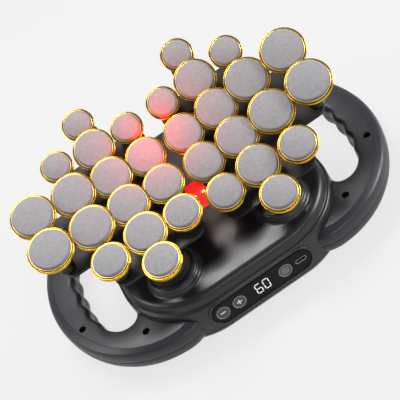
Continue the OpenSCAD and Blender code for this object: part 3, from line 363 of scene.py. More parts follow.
def settle(obj, name, material, smooth_angle=SMOOTH_ANGLE):
    """Turns faces outwards, smooths and names the piece, with its place in its mesh."""
    take(obj)
    bpy.ops.object.transform_apply(location=True, rotation=True, scale=True)
    bpy.ops.object.mode_set(mode="EDIT")
    bpy.ops.mesh.select_all(action="SELECT")
    bpy.ops.mesh.remove_doubles(threshold=MERGE)
    bpy.ops.mesh.normals_make_consistent(inside=False)
    bpy.ops.object.mode_set(mode="OBJECT")
    bpy.ops.object.shade_smooth_by_angle(angle=math.radians(smooth_angle))
    obj.name = name
    obj.data.name = name
    obj.data.materials.clear()
    obj.data.materials.append(material)
    return obj


def turned(name, profile, material, sides=96, smooth_angle=SMOOTH_ANGLE):
    """A turned piece about Z: a circle is drawn out ring by ring along the profile of (radius, height)."""
    start_fresh()
    radius, height = profile[0]
    bpy.ops.mesh.primitive_circle_add(vertices=sides, radius=max(radius, AXIS_R) * MM,
                                      location=(0, 0, height * MM))
    obj = bpy.context.object
    bpy.ops.object.transform_apply(location=True)
    bpy.ops.object.mode_set(mode="EDIT")
    bpy.ops.mesh.select_all(action="SELECT")
    for next_radius, next_height in profile[1:]:
        share = max(next_radius, AXIS_R) / max(radius, AXIS_R)
        rise = (next_height - height) * MM
        bpy.ops.mesh.extrude_region_move(TRANSFORM_OT_translate={"value": (0, 0, rise)})
        bpy.ops.transform.resize(value=(share, share, 1), center_override=(0, 0, next_height * MM))
        radius, height = next_radius, next_height
    bpy.ops.object.mode_set(mode="OBJECT")
    return settle(obj, name, material, smooth_angle)


def lofted(name, rings, material):
    """A closed piece drawn out through rings: a disc is extruded, and each new face takes its ring."""
    start_fresh()
    bpy.ops.mesh.primitive_circle_add(vertices=len(rings[0]), fill_type="NGON")
    obj = bpy.context.object
    for vertex, point in zip(obj.data.vertices, rings[0]):
        vertex.co = Vector(point) * MM
    bpy.ops.object.mode_set(mode="EDIT")
    bpy.ops.mesh.select_all(action="SELECT")
    for last, ring in zip(rings, rings[1:]):
        bpy.ops.mesh.extrude_region_move()
        mesh = bmesh.from_edit_mesh(obj.data)
        # The new face lies on the last ring, and each of its corners is known by its place
        moved = {tuple(round(c / MM, 3) for c in Vector(old) * MM): new for old, new in zip(last, ring)}
        for vertex in [v for v in mesh.verts if v.select]:
            vertex.co = Vector(moved[tuple(round(c / MM, 3) for c in vertex.co)]) * MM
        bmesh.update_edit_mesh(obj.data)
    bpy.ops.object.mode_set(mode="OBJECT")
    return settle(obj, name, material)


def copy_piece(obj, name, place):
    """A copy with its own mesh, moved by a matrix that goes into the mesh."""
    new = obj.copy()
    new.data = obj.data.copy()
    new.name = name
    new.data.name = name
    new.data.transform(place)
    if place.determinant() < 0:
        new.data.flip_normals()
    bpy.context.collection.objects.link(new)
    return new


def drop(*objects):
    """Removes the patterns that pieces were copied from."""
    for obj in objects:
        bpy.data.objects.remove(obj, do_unlink=True)


def cut(obj, *cutters):
    """Takes the cutters out of a piece, and removes them."""
    for cutter in cutters:
        take(obj)
        step = obj.modifiers.new("cut", "BOOLEAN")
        step.operation = "DIFFERENCE"
        step.solver = "EXACT"
        step.object = cutter
        bpy.ops.object.modifier_apply(modifier=step.name)
        drop(cutter)


def bevel(obj, width, segments, angle=30):
    """Rounds the sharp edges of a piece."""
    take(obj)
    step = obj.modifiers.new("edges", "BEVEL")
    step.width = width * MM
    step.segments = segments
    step.limit_method = "ANGLE"
    step.angle_limit = math.radians(angle)
    bpy.ops.object.modifier_apply(modifier=step.name)
    bpy.ops.object.shade_smooth_by_angle(angle=math.radians(SMOOTH_ANGLE))


def join(name, objects):
    """Makes several objects one piece."""
    start_fresh()
    for obj in objects:
        obj.select_set(True)
    bpy.context.view_layer.objects.active = objects[0]
    bpy.ops.object.join()
    objects[0].name = name
    objects[0].data.name = name
    return objects[0]


def fit(piece, body, slot, *nodes):
    """A piece rides on a body and stands for these nodes, which it hides; slot is not used."""
    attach(piece, body)
    if nodes:
        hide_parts(*nodes)
    return piece


def rod(radius, z0, z1, place):
    """A plain round cutter along Z, with its axis at a place in X and Y."""
    start_fresh()
    bpy.ops.mesh.primitive_cylinder_add(vertices=64, radius=radius * MM, depth=(z1 - z0) * MM,
                                        location=(place[0] * MM, place[1] * MM, (z0 + z1) / 2 * MM))
    bpy.ops.object.transform_apply(location=True)
    return bpy.context.object


# Outlines
def rounded_outline(half_w, half_d, corner, z, steps=16):
    """A rounded rectangle at height z."""
    points = []
    for sx, sy, start in ((1, 1, 0), (-1, 1, 90), (-1, -1, 180), (1, -1, 270)):
        for k in range(steps + 1):
            a = math.radians(start + 90 * k / steps)
            points.append((sx * (half_w - corner) + corner * math.cos(a),
                           sy * (half_d - corner) + corner * math.sin(a), z))
    return points


def stadium_outline(w, h, z, steps=20):
    """A slot with round ends, w long and h high, at height z."""
    r = h / 2
    points = []
    for side, start in ((1, -90), (-1, 90)):
        for k in range(steps + 1):
            a = math.radians(start + 180 * k / steps)
            points.append((side * (w / 2 - r) + r * math.cos(a), r * math.sin(a), z))
    return points


# The border round the strip, the shell that carries it, and the gaps round the strip and the window
BORDER_W, BORDER_LIFT, BORDER_EDGE = 5, 0.9, 0.8
STRIP_LAND, STRIP_GAP, STRIP_RECESS = 4.8, 0.5, 1.3
WINDOW_GAP = 0.2

# Takes a piece drawn flat, face up, to the middle of the control strip
STRIP_PLACE = (Matrix.Translation(Vector(STRIP_MIDDLE) * MM)
               @ Matrix.Rotation(math.radians(90 - STRIP_LEAN), 4, "X"))

# The body's sides: height, and how far it has drawn in at the sides, and at the front and back.
# The wall leans back to a small ledge, and the cover's top rises from it with a soft edge
COVER_PROFILE = [
    (PAN_TOP + SEAM, 0.5, 0.5), (15.8, 0, 0), (25, 0, 0), (35, 0.2, 1.6), (43.6, 0.4, 2.95), (45, 0.7, 3.3),
    (46, 1.3, 3.95), (46.5, 2.1, 4.8), (46.7, 2.8, 5.5), (47, 3.3, 6.0), (47.6, 3.6, 6.3), (50, 4, 6.8),
    (52.6, 4.6, 7.6), (54.6, 5.5, 8.7), (56, 6.8, 10.2), (56.7, 8.2, 11.8), (COVER_TOP, 10, 13.8)]
PAN_PROFILE = [
    (FOOT_H, 12, 11), (3.3, 10.6, 9.6), (4.2, 8.6, 7.8), (5.8, 6.2, 5.6), (8, 3.6, 3.2), (10.2, 1.7, 1.5),
    (12.4, 0.5, 0.4), (14, 0, 0), (14.6, 0, 0), (PAN_TOP, 0.4, 0.4)]


def body_ring(z, in_w, in_d, corner_loss=1.0, inset=0.0):
    """The body's outline at a height, drawn in at the sides and ends, and inset all round."""
    return rounded_outline(BODY_HALF_W - in_w - inset, BODY_HALF_D - in_d - inset,
                           BODY_CORNER - in_w * corner_loss - inset, z)


def boss_ring():
    """A boss: a wide soft fillet from the cover, a shoulder, and a rounded ring that carries the boot."""
    foot, under = BOSS_FOOT_R, COVER_TOP - 1.5
    fillet = [(foot, under), (foot, COVER_TOP), (foot - 1.2, COVER_TOP + 0.08),
              (foot - 2.2, COVER_TOP + 0.5), (foot - 3, COVER_TOP + 1.3), (foot - 3.5, COVER_TOP + 2.4),
              (foot - 3.75, COVER_TOP + 3.8)]
    shoulder = [(BOSS_R + 0.9, COVER_TOP + 4.6), (BOSS_R + 0.5, COVER_TOP + 4.9),
                (BOSS_R + 0.25, COVER_TOP + 5.4), (BOSS_R, BOSS_TOP - 1.6), (BOSS_R - 0.25, BOSS_TOP - 0.9),
                (BOSS_R - 0.8, BOSS_TOP - 0.35), (BOSS_R - 1.4, BOSS_TOP - 0.06)]
    seat = [(BOSS_R - 2.2, BOSS_TOP), (BOSS_HOLE_R + 0.8, BOSS_TOP), (BOSS_HOLE_R, BOSS_TOP - 0.8),
            (BOSS_HOLE_R, under), (foot, under)]
    return turned("boss", fillet + shoulder + seat, COVER, smooth_angle=40)


def strip_slot(name, wider, z0, z1):
    """A slot shaped like the control strip, wider than it by so much, between two heights over it."""
    return lofted(name, [stadium_outline(STRIP_W + wider, STRIP_H + wider, z) for z in (z0, z1)], COVER)


def make_cover():
    """The cover: a hollow shell with a red window, the strip's recess and border, and four bosses."""
    piston_places = [(sx * PISTON_X, sy * PISTON_Y) for sx in (LEFT, RIGHT) for sy in (FRONT, BACK)]
    cover = lofted("cover", [body_ring(*p) for p in COVER_PROFILE], COVER)
    hollow = lofted("hollow", [body_ring(z - (WALL if z > PAN_TOP + 2 else 2), w, d, inset=WALL)
                               for z, w, d in COVER_PROFILE], COVER)
    opening = lofted("opening", [rounded_outline(LAMP_W / 2 + WINDOW_GAP, LAMP_L / 2 + WINDOW_GAP,
                                                 LAMP_CORNER + WINDOW_GAP, z)
                                 for z in (COVER_TOP - 6, COVER_TOP + 3)], COVER)
    opening.data.transform(Matrix.Translation((0, LAMP_Y * MM, 0)))
    recess = strip_slot("recess", STRIP_GAP, -STRIP_RECESS, 8)
    recess.data.transform(STRIP_PLACE)
    window = strip_slot("window", -STRIP_LAND, -8, 2)
    window.data.transform(STRIP_PLACE)
    holes = [rod(BOSS_HOLE_R, COVER_TOP - 8, COVER_TOP + 2, place) for place in piston_places]
    cut(cover, hollow, opening, recess, window, *holes)
    settle(cover, "cover", COVER)
    boss = boss_ring()
    bosses = [copy_piece(boss, "boss_copy", Matrix.Translation((x * MM, y * MM, 0)))
              for x, y in piston_places]
    border = strip_slot("border", BORDER_W, -1, BORDER_LIFT)
    cut(border, strip_slot("inner", STRIP_GAP, -3, 3))
    bevel(border, BORDER_EDGE, segments=4)
    border.data.transform(STRIP_PLACE)
    drop(boss)
    fit(join("top_cover_shell", [cover, border] + bosses), "housing", "gloss_cover", "top_cover")


# Handles
def signed_power(value, power):
    """A power that keeps the sign, for outlines that are squarer than an ellipse."""
    return math.copysign(abs(value) ** power, value)


def handle_out(a):
    """A point of the handle's outer edge, at an angle round it."""
    return Vector((ARM_X + (HALF_SPAN - ARM_X) * math.cos(a), HANDLE_HALF_D * math.sin(a)))


def handle_in(a):
    """A point of the inner edge, with waves for the fingers along the grip."""
    edge = Vector((GAP_X + (HALF_SPAN - GRIP_W - GAP_X) * signed_power(math.cos(a), GAP_POWER),
                   GAP_HALF * signed_power(math.sin(a), GAP_POWER)))
    if abs(edge.y) < WAVES_EACH_WAY * WAVE_PITCH:
        edge.x -= WAVE_DEPTH / 2 * (1 + math.cos(2 * math.pi * edge.y / WAVE_PITCH))
    return edge


def arm_points(side, t):
    """The two edges of an arm, a share t of the way into the body."""
    turn = math.radians(90 * t)
    drawn_in = GAP_CORNER * (1 - math.cos(turn))
    return (Vector((ARM_X - ARM_RUN * t, side * (HANDLE_HALF_D - ARM_DRAW * t * t))),
            Vector((GAP_X - GAP_CORNER * math.sin(turn), side * (GAP_HALF - drawn_in))))


def handle_plan(grip_steps=112, arm_steps=10):
    """Outer and inner points of the handle's plan, from inside the body, round the grip and back in."""
    grip = [math.radians(-90 + 180 * k / grip_steps) for k in range(grip_steps + 1)]
    arms = {side: [arm_points(side, k / arm_steps) for k in range(1, arm_steps + 1)]
            for side in (FRONT, BACK)}
    plan = arms[FRONT][::-1] + [(handle_out(a), handle_in(a)) for a in grip] + arms[BACK]
    away = Vector((ARM_END, 0))
    return ([(plan[0][0] - away, plan[0][1] - away)] + plan + [(plan[-1][0] - away, plan[-1][1] - away)])


def section_ring(outer, inner, section, inset=0.0):
    """The handle's section at one place: side (outer 1, inner -1), distance in from that side, height."""
    middle = (outer + inner) / 2
    out = (outer - inner).normalized()
    half = (outer - inner).length / 2
    return [(*(middle + out * side * (half - inward - inset)), z) for side, inward, z in section]


# Upper shell: a round side, a broad chamfer, a flat deck, and a rounded edge over the fingers
UPPER_SECTION = [
    (1, 0.4, SPLIT_Z), (1, 0, 25.5), (1, 0, 28), (1, 0.2, 30.4), (1, 0.7, 32.6), (1, 1.6, 34.5),
    (1, 2.8, 35.8), (1, 4.2, 36.7), (1, 9.2, 38.65), (1, 9.8, 38.9), (1, 10.5, DECK_Z), (-1, 5.6, DECK_Z),
    (-1, 4.3, 38.85), (-1, 3, 38.4), (-1, 1.8, 37.5), (-1, 0.8, 36.1), (-1, 0.2, 34.2), (-1, 0, 32),
    (-1, 0, 25.5), (-1, 0.4, SPLIT_Z)]
# The hollow of the upper shell, drawn over its walls
INSIDE_SECTION = [(1, 0, 22), (1, 0.4, 32), (1, 3, 35), (-1, 3, 36), (-1, 0.4, 34), (-1, 0, 22)]
# Lower shell: a round underside, with a chamfer at the seam
LOWER_SECTION = [
    (1, 0.4, SPLIT_Z - SEAM), (-1, 0.4, SPLIT_Z - SEAM), (-1, 0, 24.2), (-1, 0, 20), (-1, 0.3, 17.6),
    (-1, 1.1, 15.5), (-1, 2.5, 13.8), (-1, 4.5, 12.6), (-1, 7, 12.05), (-1, 9, 12), (1, 9, 12),
    (1, 6.6, 12.2), (1, 4.3, 12.9), (1, 2.4, 14.3), (1, 1, 16.5), (1, 0.25, 19.5), (1, 0, 22), (1, 0, 24.2)]
# The body's sides are cut out of the handles up to this height
BLOCK_TOP = 46


def screw_places():
    """Two screws toward the outside of a handle, and two beside the body."""
    places = []
    for side in (FRONT, BACK):
        for degrees, share in SCREW_SPOTS:
            a = side * math.radians(degrees)
            places.append(handle_in(a) + share * (handle_out(a) - handle_in(a)))
    return places


def body_block(z0):
    """The body's outline with the seam round it, as a solid, to cut what runs into it."""
    profile = [p for p in COVER_PROFILE if z0 < p[0] < BLOCK_TOP]
    rings = [body_ring(z0, 0, 0, inset=-SEAM)] + [body_ring(*p, inset=-SEAM) for p in profile[1:]]
    return lofted("body_block", rings, CHARCOAL)


def make_handles():
    """The upper shell of each handle, and the bottom shell: a pan with the handles' lower halves."""
    plan = handle_plan()
    upper = lofted("upper", [section_ring(o, i, UPPER_SECTION) for o, i in plan], CHARCOAL)
    inside = lofted("inside", [section_ring(o, i, INSIDE_SECTION, WALL) for o, i in plan], CHARCOAL)
    recesses = [rod(SCREW_RECESS_R, DECK_Z - SCREW_RECESS_DEPTH, DECK_Z + 3, p) for p in screw_places()]
    cut(upper, inside, body_block(20), *recesses)
    settle(upper, "upper", CHARCOAL)
    lower = lofted("lower", [section_ring(o, i, LOWER_SECTION) for o, i in plan], CHARCOAL)
    cut(lower, body_block(PAN_TOP - SEAM))
    settle(lower, "lower", CHARCOAL)
    places = {"left": Matrix.Scale(-1, 4, (1, 0, 0)), "right": Matrix.Identity(4)}
    for word, place in places.items():
        fit(copy_piece(upper, f"{word}_handle_shell", place), "housing", "charcoal_shell",
            f"{word}_handle_cover")
    pan = lofted("pan", [body_ring(*p, corner_loss=1.4) for p in PAN_PROFILE], CHARCOAL)
    hollow = lofted("hollow", [body_ring(z + WALL, w, d, corner_loss=1.4, inset=WALL)
                               for z, w, d in PAN_PROFILE], CHARCOAL)
    cut(pan, hollow)
    settle(pan, "pan", CHARCOAL)
    shells = [copy_piece(lower, f"{word}_lower", place) for word, place in places.items()]
    drop(upper, lower)
    fit(join("bottom_shell", [pan] + shells), "housing", "charcoal_shell", "bottom_housing")


# Where the heads are: x across, and s along the hollow that they follow from front to back
def slope_at(s):
    return GROUP_SLOPE + s / HOLLOW_R


def hollow_point(x, s):
    """The middle of a head on the hollow, which rises towards the sides by DISH at 100 mm."""
    slope = slope_at(s)
    rise = HOLLOW_R * (math.cos(GROUP_SLOPE) - math.cos(slope))
    return Vector((x, HOLLOW_R * (math.sin(slope) - math.sin(GROUP_SLOPE)),
                   HEAD_Z + rise + DISH * (x / 100) ** 2)) * MM


def head_place(head):
    """Takes a head drawn upright to its place and lean."""
    x, s = head[:2]
    return (Matrix.Translation(hollow_point(x, s))
            @ Matrix.Rotation(slope_at(s) + HEAD_LEAN, 4, "X")
            @ Matrix.Rotation(-SIDE_LEAN * (x / COLUMNS[3]) ** 3, 4, "Y"))


def group_place(side):
    """Sets a head group, drawn at mid stroke, on its front pin as it rests."""
    rise = REAR_PIN_Z - FRONT_PIN_Z
    mean = math.atan2(rise, 2 * PISTON_Y)
    rest = math.atan2(rise + side * STROKE, 2 * PISTON_Y)
    pin = Vector((0, -PISTON_Y, FRONT_PIN_Z)) * MM
    lift = Vector((0, 0, -side * STROKE / 2)) * MM
    mirror = Matrix.Scale(-1, 4, (1, 0, 0)) if side == LEFT else Matrix.Identity(4)
    return (Matrix.Translation(pin + lift) @ Matrix.Rotation(rest - mean, 4, "X")
            @ Matrix.Translation(-pin) @ mirror)


# Each head's x, s and pad radius. The numbers in the pieces' names follow this order
HEADS = [(COLUMNS[0], s * ROW_PITCH / 2, INNER_R) for s in (-1, 1)]
HEADS += [(COLUMNS[1], s * ROW_PITCH / 2, SECOND_R) for s in (-1, 1)]
HEADS += [(COLUMNS[2], s * OUTER_GAP / 2, OUTER_R) for s in (-1, 1)]
HEADS += [(COLUMNS[3], s * OUTER_GAP / 2 + OUTER_SHIFT, OUTER_R) for s in (-1, 1)]
HEADS += [(COLUMNS[1], s * ROW_PITCH * 1.5, SECOND_R) for s in (-1, 1)]
HEADS += [(COLUMNS[0], -SMALL_ROW, FRONT_R), (COLUMNS[2], -THIRD_FRONT_ROW, FRONT_R)]
HEADS += [(x, SMALL_ROW, BACK_R) for x in (COLUMNS[0], COLUMNS[2])]
HEADS += [(COLUMNS[1], -FRONT_END_ROW, FRONT_R), (COLUMNS[1], BACK_END_ROW, BACK_R)]


def bead(x, z, radius, start, end, steps=6):
    """A round bead on a rim, from one angle to another."""
    angles = [math.radians(start + (end - start) * k / steps) for k in range(steps + 1)]
    return [(x + radius * math.cos(a), z + radius * math.sin(a)) for a in angles]


def cup_profile(r):
    """A plated cup: a narrow foot, a flared wall, and three beads round the pad, with grooves between."""
    rim = r + RIM_W
    foot = [(0, -CUP_H), (r - 6.2, -CUP_H), (r - 5.7, -CUP_H + 0.15), (r - 5.3, -CUP_H + 0.5),
            (r - 5.2, -CUP_H + 1), (r - 5.2, -7.4), (r - 4.6, -6.9), (r - 3.2, -6.3), (r - 1.2, -5.75),
            (rim - 2.2, -5.3)]
    waist = bead(rim - WAIST_BEAD - 0.25, -4.2, WAIST_BEAD, -60, 60)
    groove = [(rim - 1.05, -3.4), (rim - 1.1, -3.05)]
    outer = bead(rim - RIM_BEAD, -2.1, RIM_BEAD, -60, 120, 10)
    gap = [(rim - 1.35, -1.45), (r + 2 * LIP_BEAD + 0.02, -PAD_SEAT)]
    lip = bead(r + LIP_BEAD + 0.05, -0.65, LIP_BEAD, -30, 180, 8)
    return foot + waist + groove + outer + gap + lip + [(r + 0.02, -PAD_SEAT), (0, -PAD_SEAT)]


def pad_profile(r):
    """A crowned pad with a soft rolled edge that stands over the rim, and a core down in the cup."""
    edge, core = r - 0.06, r - 4.5
    seat = 0.04 - PAD_SEAT
    points = [(0, -3.8), (core, -3.8), (core, seat), (edge - 0.2, seat), (edge, -1.1)]
    for k in range(0, 91, 15):
        a = math.radians(k)
        points.append((edge - PAD_ROLL * (1 - math.cos(a)), 0.2 + PAD_ROLL * math.sin(a)))
    flat = edge - PAD_ROLL
    base = points[-1][1]
    points += [(flat * (1 - k / 10), base + (PAD_CROWN - base) * (1 - (1 - k / 10) ** 2))
               for k in range(1, 11)]
    return points


def neck_profile(length):
    """A round neck with a flange at its foot and a small fillet over it."""
    flange_r = NECK_R + NECK_FLANGE
    return [(0, 0), (flange_r, 0), (flange_r, 0.8), (NECK_R + 0.4, 1.6), (NECK_R, 2.4), (NECK_R, length),
            (0, length)]


def neck_ends(head):
    """The foot of a head's neck, on the plate's upper face, and the point under its cup."""
    x, s = head[:2]
    slope = slope_at(s)
    reach = PLATE_DROP - PLATE_T
    rise = HOLLOW_R * (math.cos(GROUP_SLOPE) - math.cos(slope))
    foot = Vector((x, HOLLOW_R * (math.sin(slope) - math.sin(GROUP_SLOPE)) + reach * math.sin(slope),
                   HEAD_Z + rise - reach * math.cos(slope))) * MM
    return foot, head_place(head) @ Vector((0, 0, (-CUP_H + 0.4) * MM))


def paint_lip_highlight_and_groove_shade(cup, r):
    """The lip next to the pad gets a paler gold as a painted highlight, and the grooves a darker gold as
    painted shade.
    """
    cup.data.materials.append(PAINTED_HIGHLIGHT_GOLD)
    cup.data.materials.append(PAINTED_SHADE_GOLD)
    rim = r + RIM_W
    for face in cup.data.polygons:
        reach = math.hypot(face.center.x, face.center.y) / MM
        z = face.center.z / MM
        # Painted highlight: the lip beside the pad
        if r < reach < r + 2 * LIP_BEAD + 0.1 and z > -1.1:
            face.material_index = 1
        # Painted shade: the grooves between the beads
        if rim - 1.75 < reach < rim - 0.98 and -3.5 < z < -1.1:
            face.material_index = 2


def make_heads():
    """Sixteen heads on each group, each a cup, a padded top and a neck."""
    sizes = sorted({head[2] for head in HEADS})
    cups = {r: turned("cup", cup_profile(r), GOLD) for r in sizes}
    pads = {r: turned("pad", pad_profile(r), PAD, smooth_angle=60) for r in sizes}
    for r, cup in cups.items():
        paint_lip_highlight_and_groove_shade(cup, r)
    for side, word in SIDES:
        place = group_place(side)
        body = f"{word}_group"
        for number, head in enumerate(HEADS, 1):
            cup = copy_piece(cups[head[2]], f"{word}_cup_{number}", place @ head_place(head))
            pad = copy_piece(pads[head[2]], f"{word}_pad_{number}", place @ head_place(head))
            foot, top = neck_ends(head)
            line = top - foot
            neck = turned("neck", neck_profile(line.length / MM), NYLON, sides=48)
            stand = Matrix.Translation(foot) @ line.to_track_quat("Z", "Y").to_matrix().to_4x4()
            fit(cup, body, "gold_plate", f"{word}_head_cups")
            fit(pad, body, "pad_foam", f"{word}_head_pads")
            fit(copy_piece(neck, f"{word}_neck_{number}", place @ stand), body, "black_plastic",
                f"{word}_head_necks")
            drop(neck)
    drop(*cups.values(), *pads.values())


# Boots. RIB_PITCH is that of a stretched boot, and each ends BOOT_GAP under its carrier plate
BOOT_FOOT_R, BOOT_R, BOOT_TOP_R, BOOT_T = 22.4, 20, 18, 1.4
BOOT_FOOT_H = 1.2
RIB_PITCH, RIB_DEPTH, RIB_SHARPNESS = 3, 1.8, 1.4
POINTS_PER_RIB = 8
BOOT_GAP = 3.2
RIBS = {FRONT: 5, BACK: 20}


def boot_profile(side, end):
    """Ribs from the foot up: each has a round crest and a round valley; a lowered piston squeezes them."""
    ribs = RIBS[end]
    lifted = side * end > 0
    height = ribs * RIB_PITCH - (0 if lifted else STROKE)
    outer = []
    for k in range(ribs * POINTS_PER_RIB + 1):
        share = k / (ribs * POINTS_PER_RIB)
        crest = BOOT_R + (BOOT_TOP_R - BOOT_R) * share
        wave = (1 + math.cos(2 * math.pi * k / POINTS_PER_RIB)) / 2
        outer.append((crest - RIB_DEPTH * wave ** RIB_SHARPNESS, BOSS_TOP + BOOT_FOOT_H + height * share))
    inner = [(r - BOOT_T, z) for r, z in outer[::-1]]
    foot = [(BOOT_FOOT_R - 5.5, BOSS_TOP), (BOOT_FOOT_R - 0.3, BOSS_TOP), (BOOT_FOOT_R, BOSS_TOP + 0.3),
            (BOOT_FOOT_R, BOSS_TOP + 0.8), (BOOT_FOOT_R - 0.4, BOSS_TOP + BOOT_FOOT_H),
            (BOOT_R - 1.5, BOSS_TOP + BOOT_FOOT_H)]
    return foot + outer + inner + [foot[0]]


def plate_cut(side, end):
    """A plane just under the carrier plate over a piston: a point and the direction away from the boot."""
    axis = Vector((0, -HOLLOW_R * math.sin(GROUP_SLOPE), HEAD_Z + HOLLOW_R * math.cos(GROUP_SLOPE)))
    reach = HOLLOW_R + PLATE_DROP + BOOT_GAP
    y = end * PISTON_Y
    point = Vector((PISTON_X, y, axis.z - math.sqrt(reach ** 2 - (y - axis.y) ** 2)))
    away = Vector((0, axis.y - point.y, axis.z - point.z)).normalized()
    place = group_place(side)
    return place @ (point * MM), (place.to_3x3() @ away).normalized()


def make_boots():
    """Four ribbed boots, cut off along the plate's underside, that stretch from the housing to a piston."""
    for side, word in SIDES:
        for end, place_word in ENDS:
            x, y = side * PISTON_X * MM, end * PISTON_Y * MM
            boot = turned("boot", boot_profile(side, end), RUBBER, sides=72, smooth_angle=60)
            boot.data.transform(Matrix.Translation((x, y, 0)))
            point, away = plate_cut(side, end)
            take(boot)
            bpy.ops.object.mode_set(mode="EDIT")
            bpy.ops.mesh.select_all(action="SELECT")
            bpy.ops.mesh.bisect(plane_co=point, plane_no=away, clear_outer=True, use_fill=True)
            bpy.ops.object.mode_set(mode="OBJECT")
            name = f"{word}_{place_word}_boot"
            settle(boot, f"{name}_ribbed", RUBBER, smooth_angle=60)
            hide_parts(name)
            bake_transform(boot)


# Control strip. Faces are heights over the strip, and places are along it, from its middle
KEY_R, KEY_T = 6.6, 2.6
KEY_FACE, KEY_DISH = 0.9, 0.4
KEYS = {"minus": -40.5, "plus": -23.5, "mode": 24.5}
DISPLAY_X = 1
DISPLAY_FACE = 0.4
# How far a printed mark stands over its face, and how deep it is let in
MARK_LIFT, MARK_SINK = 0.07, 0.12
BAR_L, BAR_W = 5.2, 1.1
PETALS, PETAL_REACH, PETAL_R = 8, 2.35, 0.42


def key_cap():
    """A key: a disc with a rounded edge, a raised ring, and a dished face."""
    top = KEY_FACE
    under = top - KEY_T
    profile = [(0, under), (KEY_R - 0.2, under), (KEY_R, under + 0.2), (KEY_R, top - 0.35),
               (KEY_R - 0.1, top - 0.12), (KEY_R - 0.35, top), (KEY_R - 0.85, top),
               (KEY_R - 1.05, top - 0.08), (KEY_R - 1.2, top - 0.3), (KEY_R - 2.6, top - 0.36),
               (0, top - KEY_DISH)]
    return turned("key", profile, KEY_GREY, sides=64, smooth_angle=30)


def paint_key_ring(key):
    """The raised ring of a key is a paler grey."""
    key.data.materials.append(KEY_RING)
    for face in key.data.polygons:
        if face.center.z / MM > KEY_FACE - 0.2 and math.hypot(face.center.x, face.center.y) / MM < KEY_R:
            face.material_index = 1


def bar():
    """A printed bar with round ends, lying along X on a key; it has a painted glow."""
    face = KEY_FACE - KEY_DISH
    return lofted("bar", [stadium_outline(BAR_L, BAR_W, z, steps=8)
                          for z in (face - MARK_SINK, face + MARK_LIFT)], GLOWING_PRINT_WHITE)


def ring_mark(r0, r1):
    """A printed ring on a key, with a painted glow; it is a dot if r0 is nothing."""
    face = KEY_FACE - KEY_DISH
    z0, z1 = face - MARK_SINK, face + MARK_LIFT
    return turned("ring", [(r0, z0), (r1, z0), (r1, z1), (r0, z1), (r0, z0)], GLOWING_PRINT_GREY, sides=48)


def key_mark(kind):
    """The mark on a key: a bar, a cross of two bars, or rings with a circle of dots."""
    if kind == "minus":
        return bar()
    if kind == "plus":
        upright = bar()
        upright.data.transform(Matrix.Rotation(math.radians(90), 4, "Z"))
        return join("cross", [bar(), upright])
    dot = ring_mark(AXIS_R, PETAL_R)
    dots = [copy_piece(dot, "dot", Matrix.Rotation(math.radians(360 / PETALS * k), 4, "Z")
                       @ Matrix.Translation((PETAL_REACH * MM, 0, 0))) for k in range(PETALS)]
    rings = [ring_mark(3.25, 3.6), ring_mark(1.0, 1.35)]
    return join("flower", rings + [dot] + dots)


def make_keys():
    """Three keys, each with its mark, that ride on the bodies that travel."""
    cap = key_cap()
    paint_key_ring(cap)
    for kind, x in KEYS.items():
        place = STRIP_PLACE @ Matrix.Translation((x * MM, 0, 0))
        fit(copy_piece(cap, f"{kind}_key_cap", place), f"{kind}_key_body", "key_grey", f"{kind}_key")
        mark = key_mark(kind)
        fit(copy_piece(mark, f"{kind}_key_mark", place), f"{kind}_key_body", "white_plastic")
        drop(mark)
    drop(cap)


# Segments of a digit: its middle's x in digit widths and y in digit heights, and whether it stands upright
SEGMENTS = {"a": (0, 0.5, False), "b": (0.5, 0.25, True), "c": (0.5, -0.25, True), "d": (0, -0.5, False),
            "e": (-0.5, -0.25, True), "f": (-0.5, 0.25, True), "g": (0, 0, False)}
# The display shows a plain number
SHOWN = "60"
DIGITS = {"6": "acdefg", "0": "abcdef"}
DIGIT_W, DIGIT_H, DIGIT_PITCH, SEGMENT_T, SEGMENT_GAP = 5.2, 10.2, 8, 0.95, 0.5


def segment(length):
    """A bar with pointed ends, as on a segment display."""
    half, t = length / 2, SEGMENT_T / 2
    outline = [(-half, 0), (-half + t, -t), (half - t, -t), (half, 0), (half - t, t), (-half + t, t)]
    z0, z1 = DISPLAY_FACE - 0.1, DISPLAY_FACE + MARK_LIFT
    return lofted("segment", [[(x, y, z) for x, y in outline] for z in (z0, z1)], DIGIT_GLOW)


def make_digits():
    """Two lit digits, each joined from its segments."""
    for place, digit in enumerate(SHOWN):
        parts = []
        for name in DIGITS[digit]:
            x, y, upright = SEGMENTS[name]
            part = segment((DIGIT_H / 2 if upright else DIGIT_W) - SEGMENT_GAP)
            if upright:
                part.data.transform(Matrix.Rotation(math.radians(90), 4, "Z"))
            part.data.transform(Matrix.Translation((x * DIGIT_W * MM, y * DIGIT_H * MM, 0)))
            parts.append(part)
        shown = join(f"display_digit_{place + 1}", parts)
        middle = DISPLAY_X + (place - 0.5) * DIGIT_PITCH
        shown.data.transform(STRIP_PLACE @ Matrix.Translation((middle * MM, 0, 0)))
        fit(shown, "housing", "white_plastic")


PORT_X, PORT_W, PORT_H, PORT_LINE = 41, 11, 4.4, 0.5


def make_port_line():
    """The printed outline round the charging socket, with a painted glow."""
    face = DISPLAY_FACE
    line = lofted("port_line", [stadium_outline(PORT_W, PORT_H, z) for z in (face - 0.1, face + MARK_LIFT)],
                  GLOWING_PRINT_GREY)
    middle = lofted("middle", [stadium_outline(PORT_W - 2 * PORT_LINE, PORT_H - 2 * PORT_LINE, z)
                               for z in (face - 0.5, face + 0.5)], GLOWING_PRINT_GREY)
    cut(line, middle)
    line.data.transform(STRIP_PLACE @ Matrix.Translation((PORT_X * MM, 0, 0)))
    fit(settle(line, "port_outline", GLOWING_PRINT_GREY), "housing", "white_plastic")


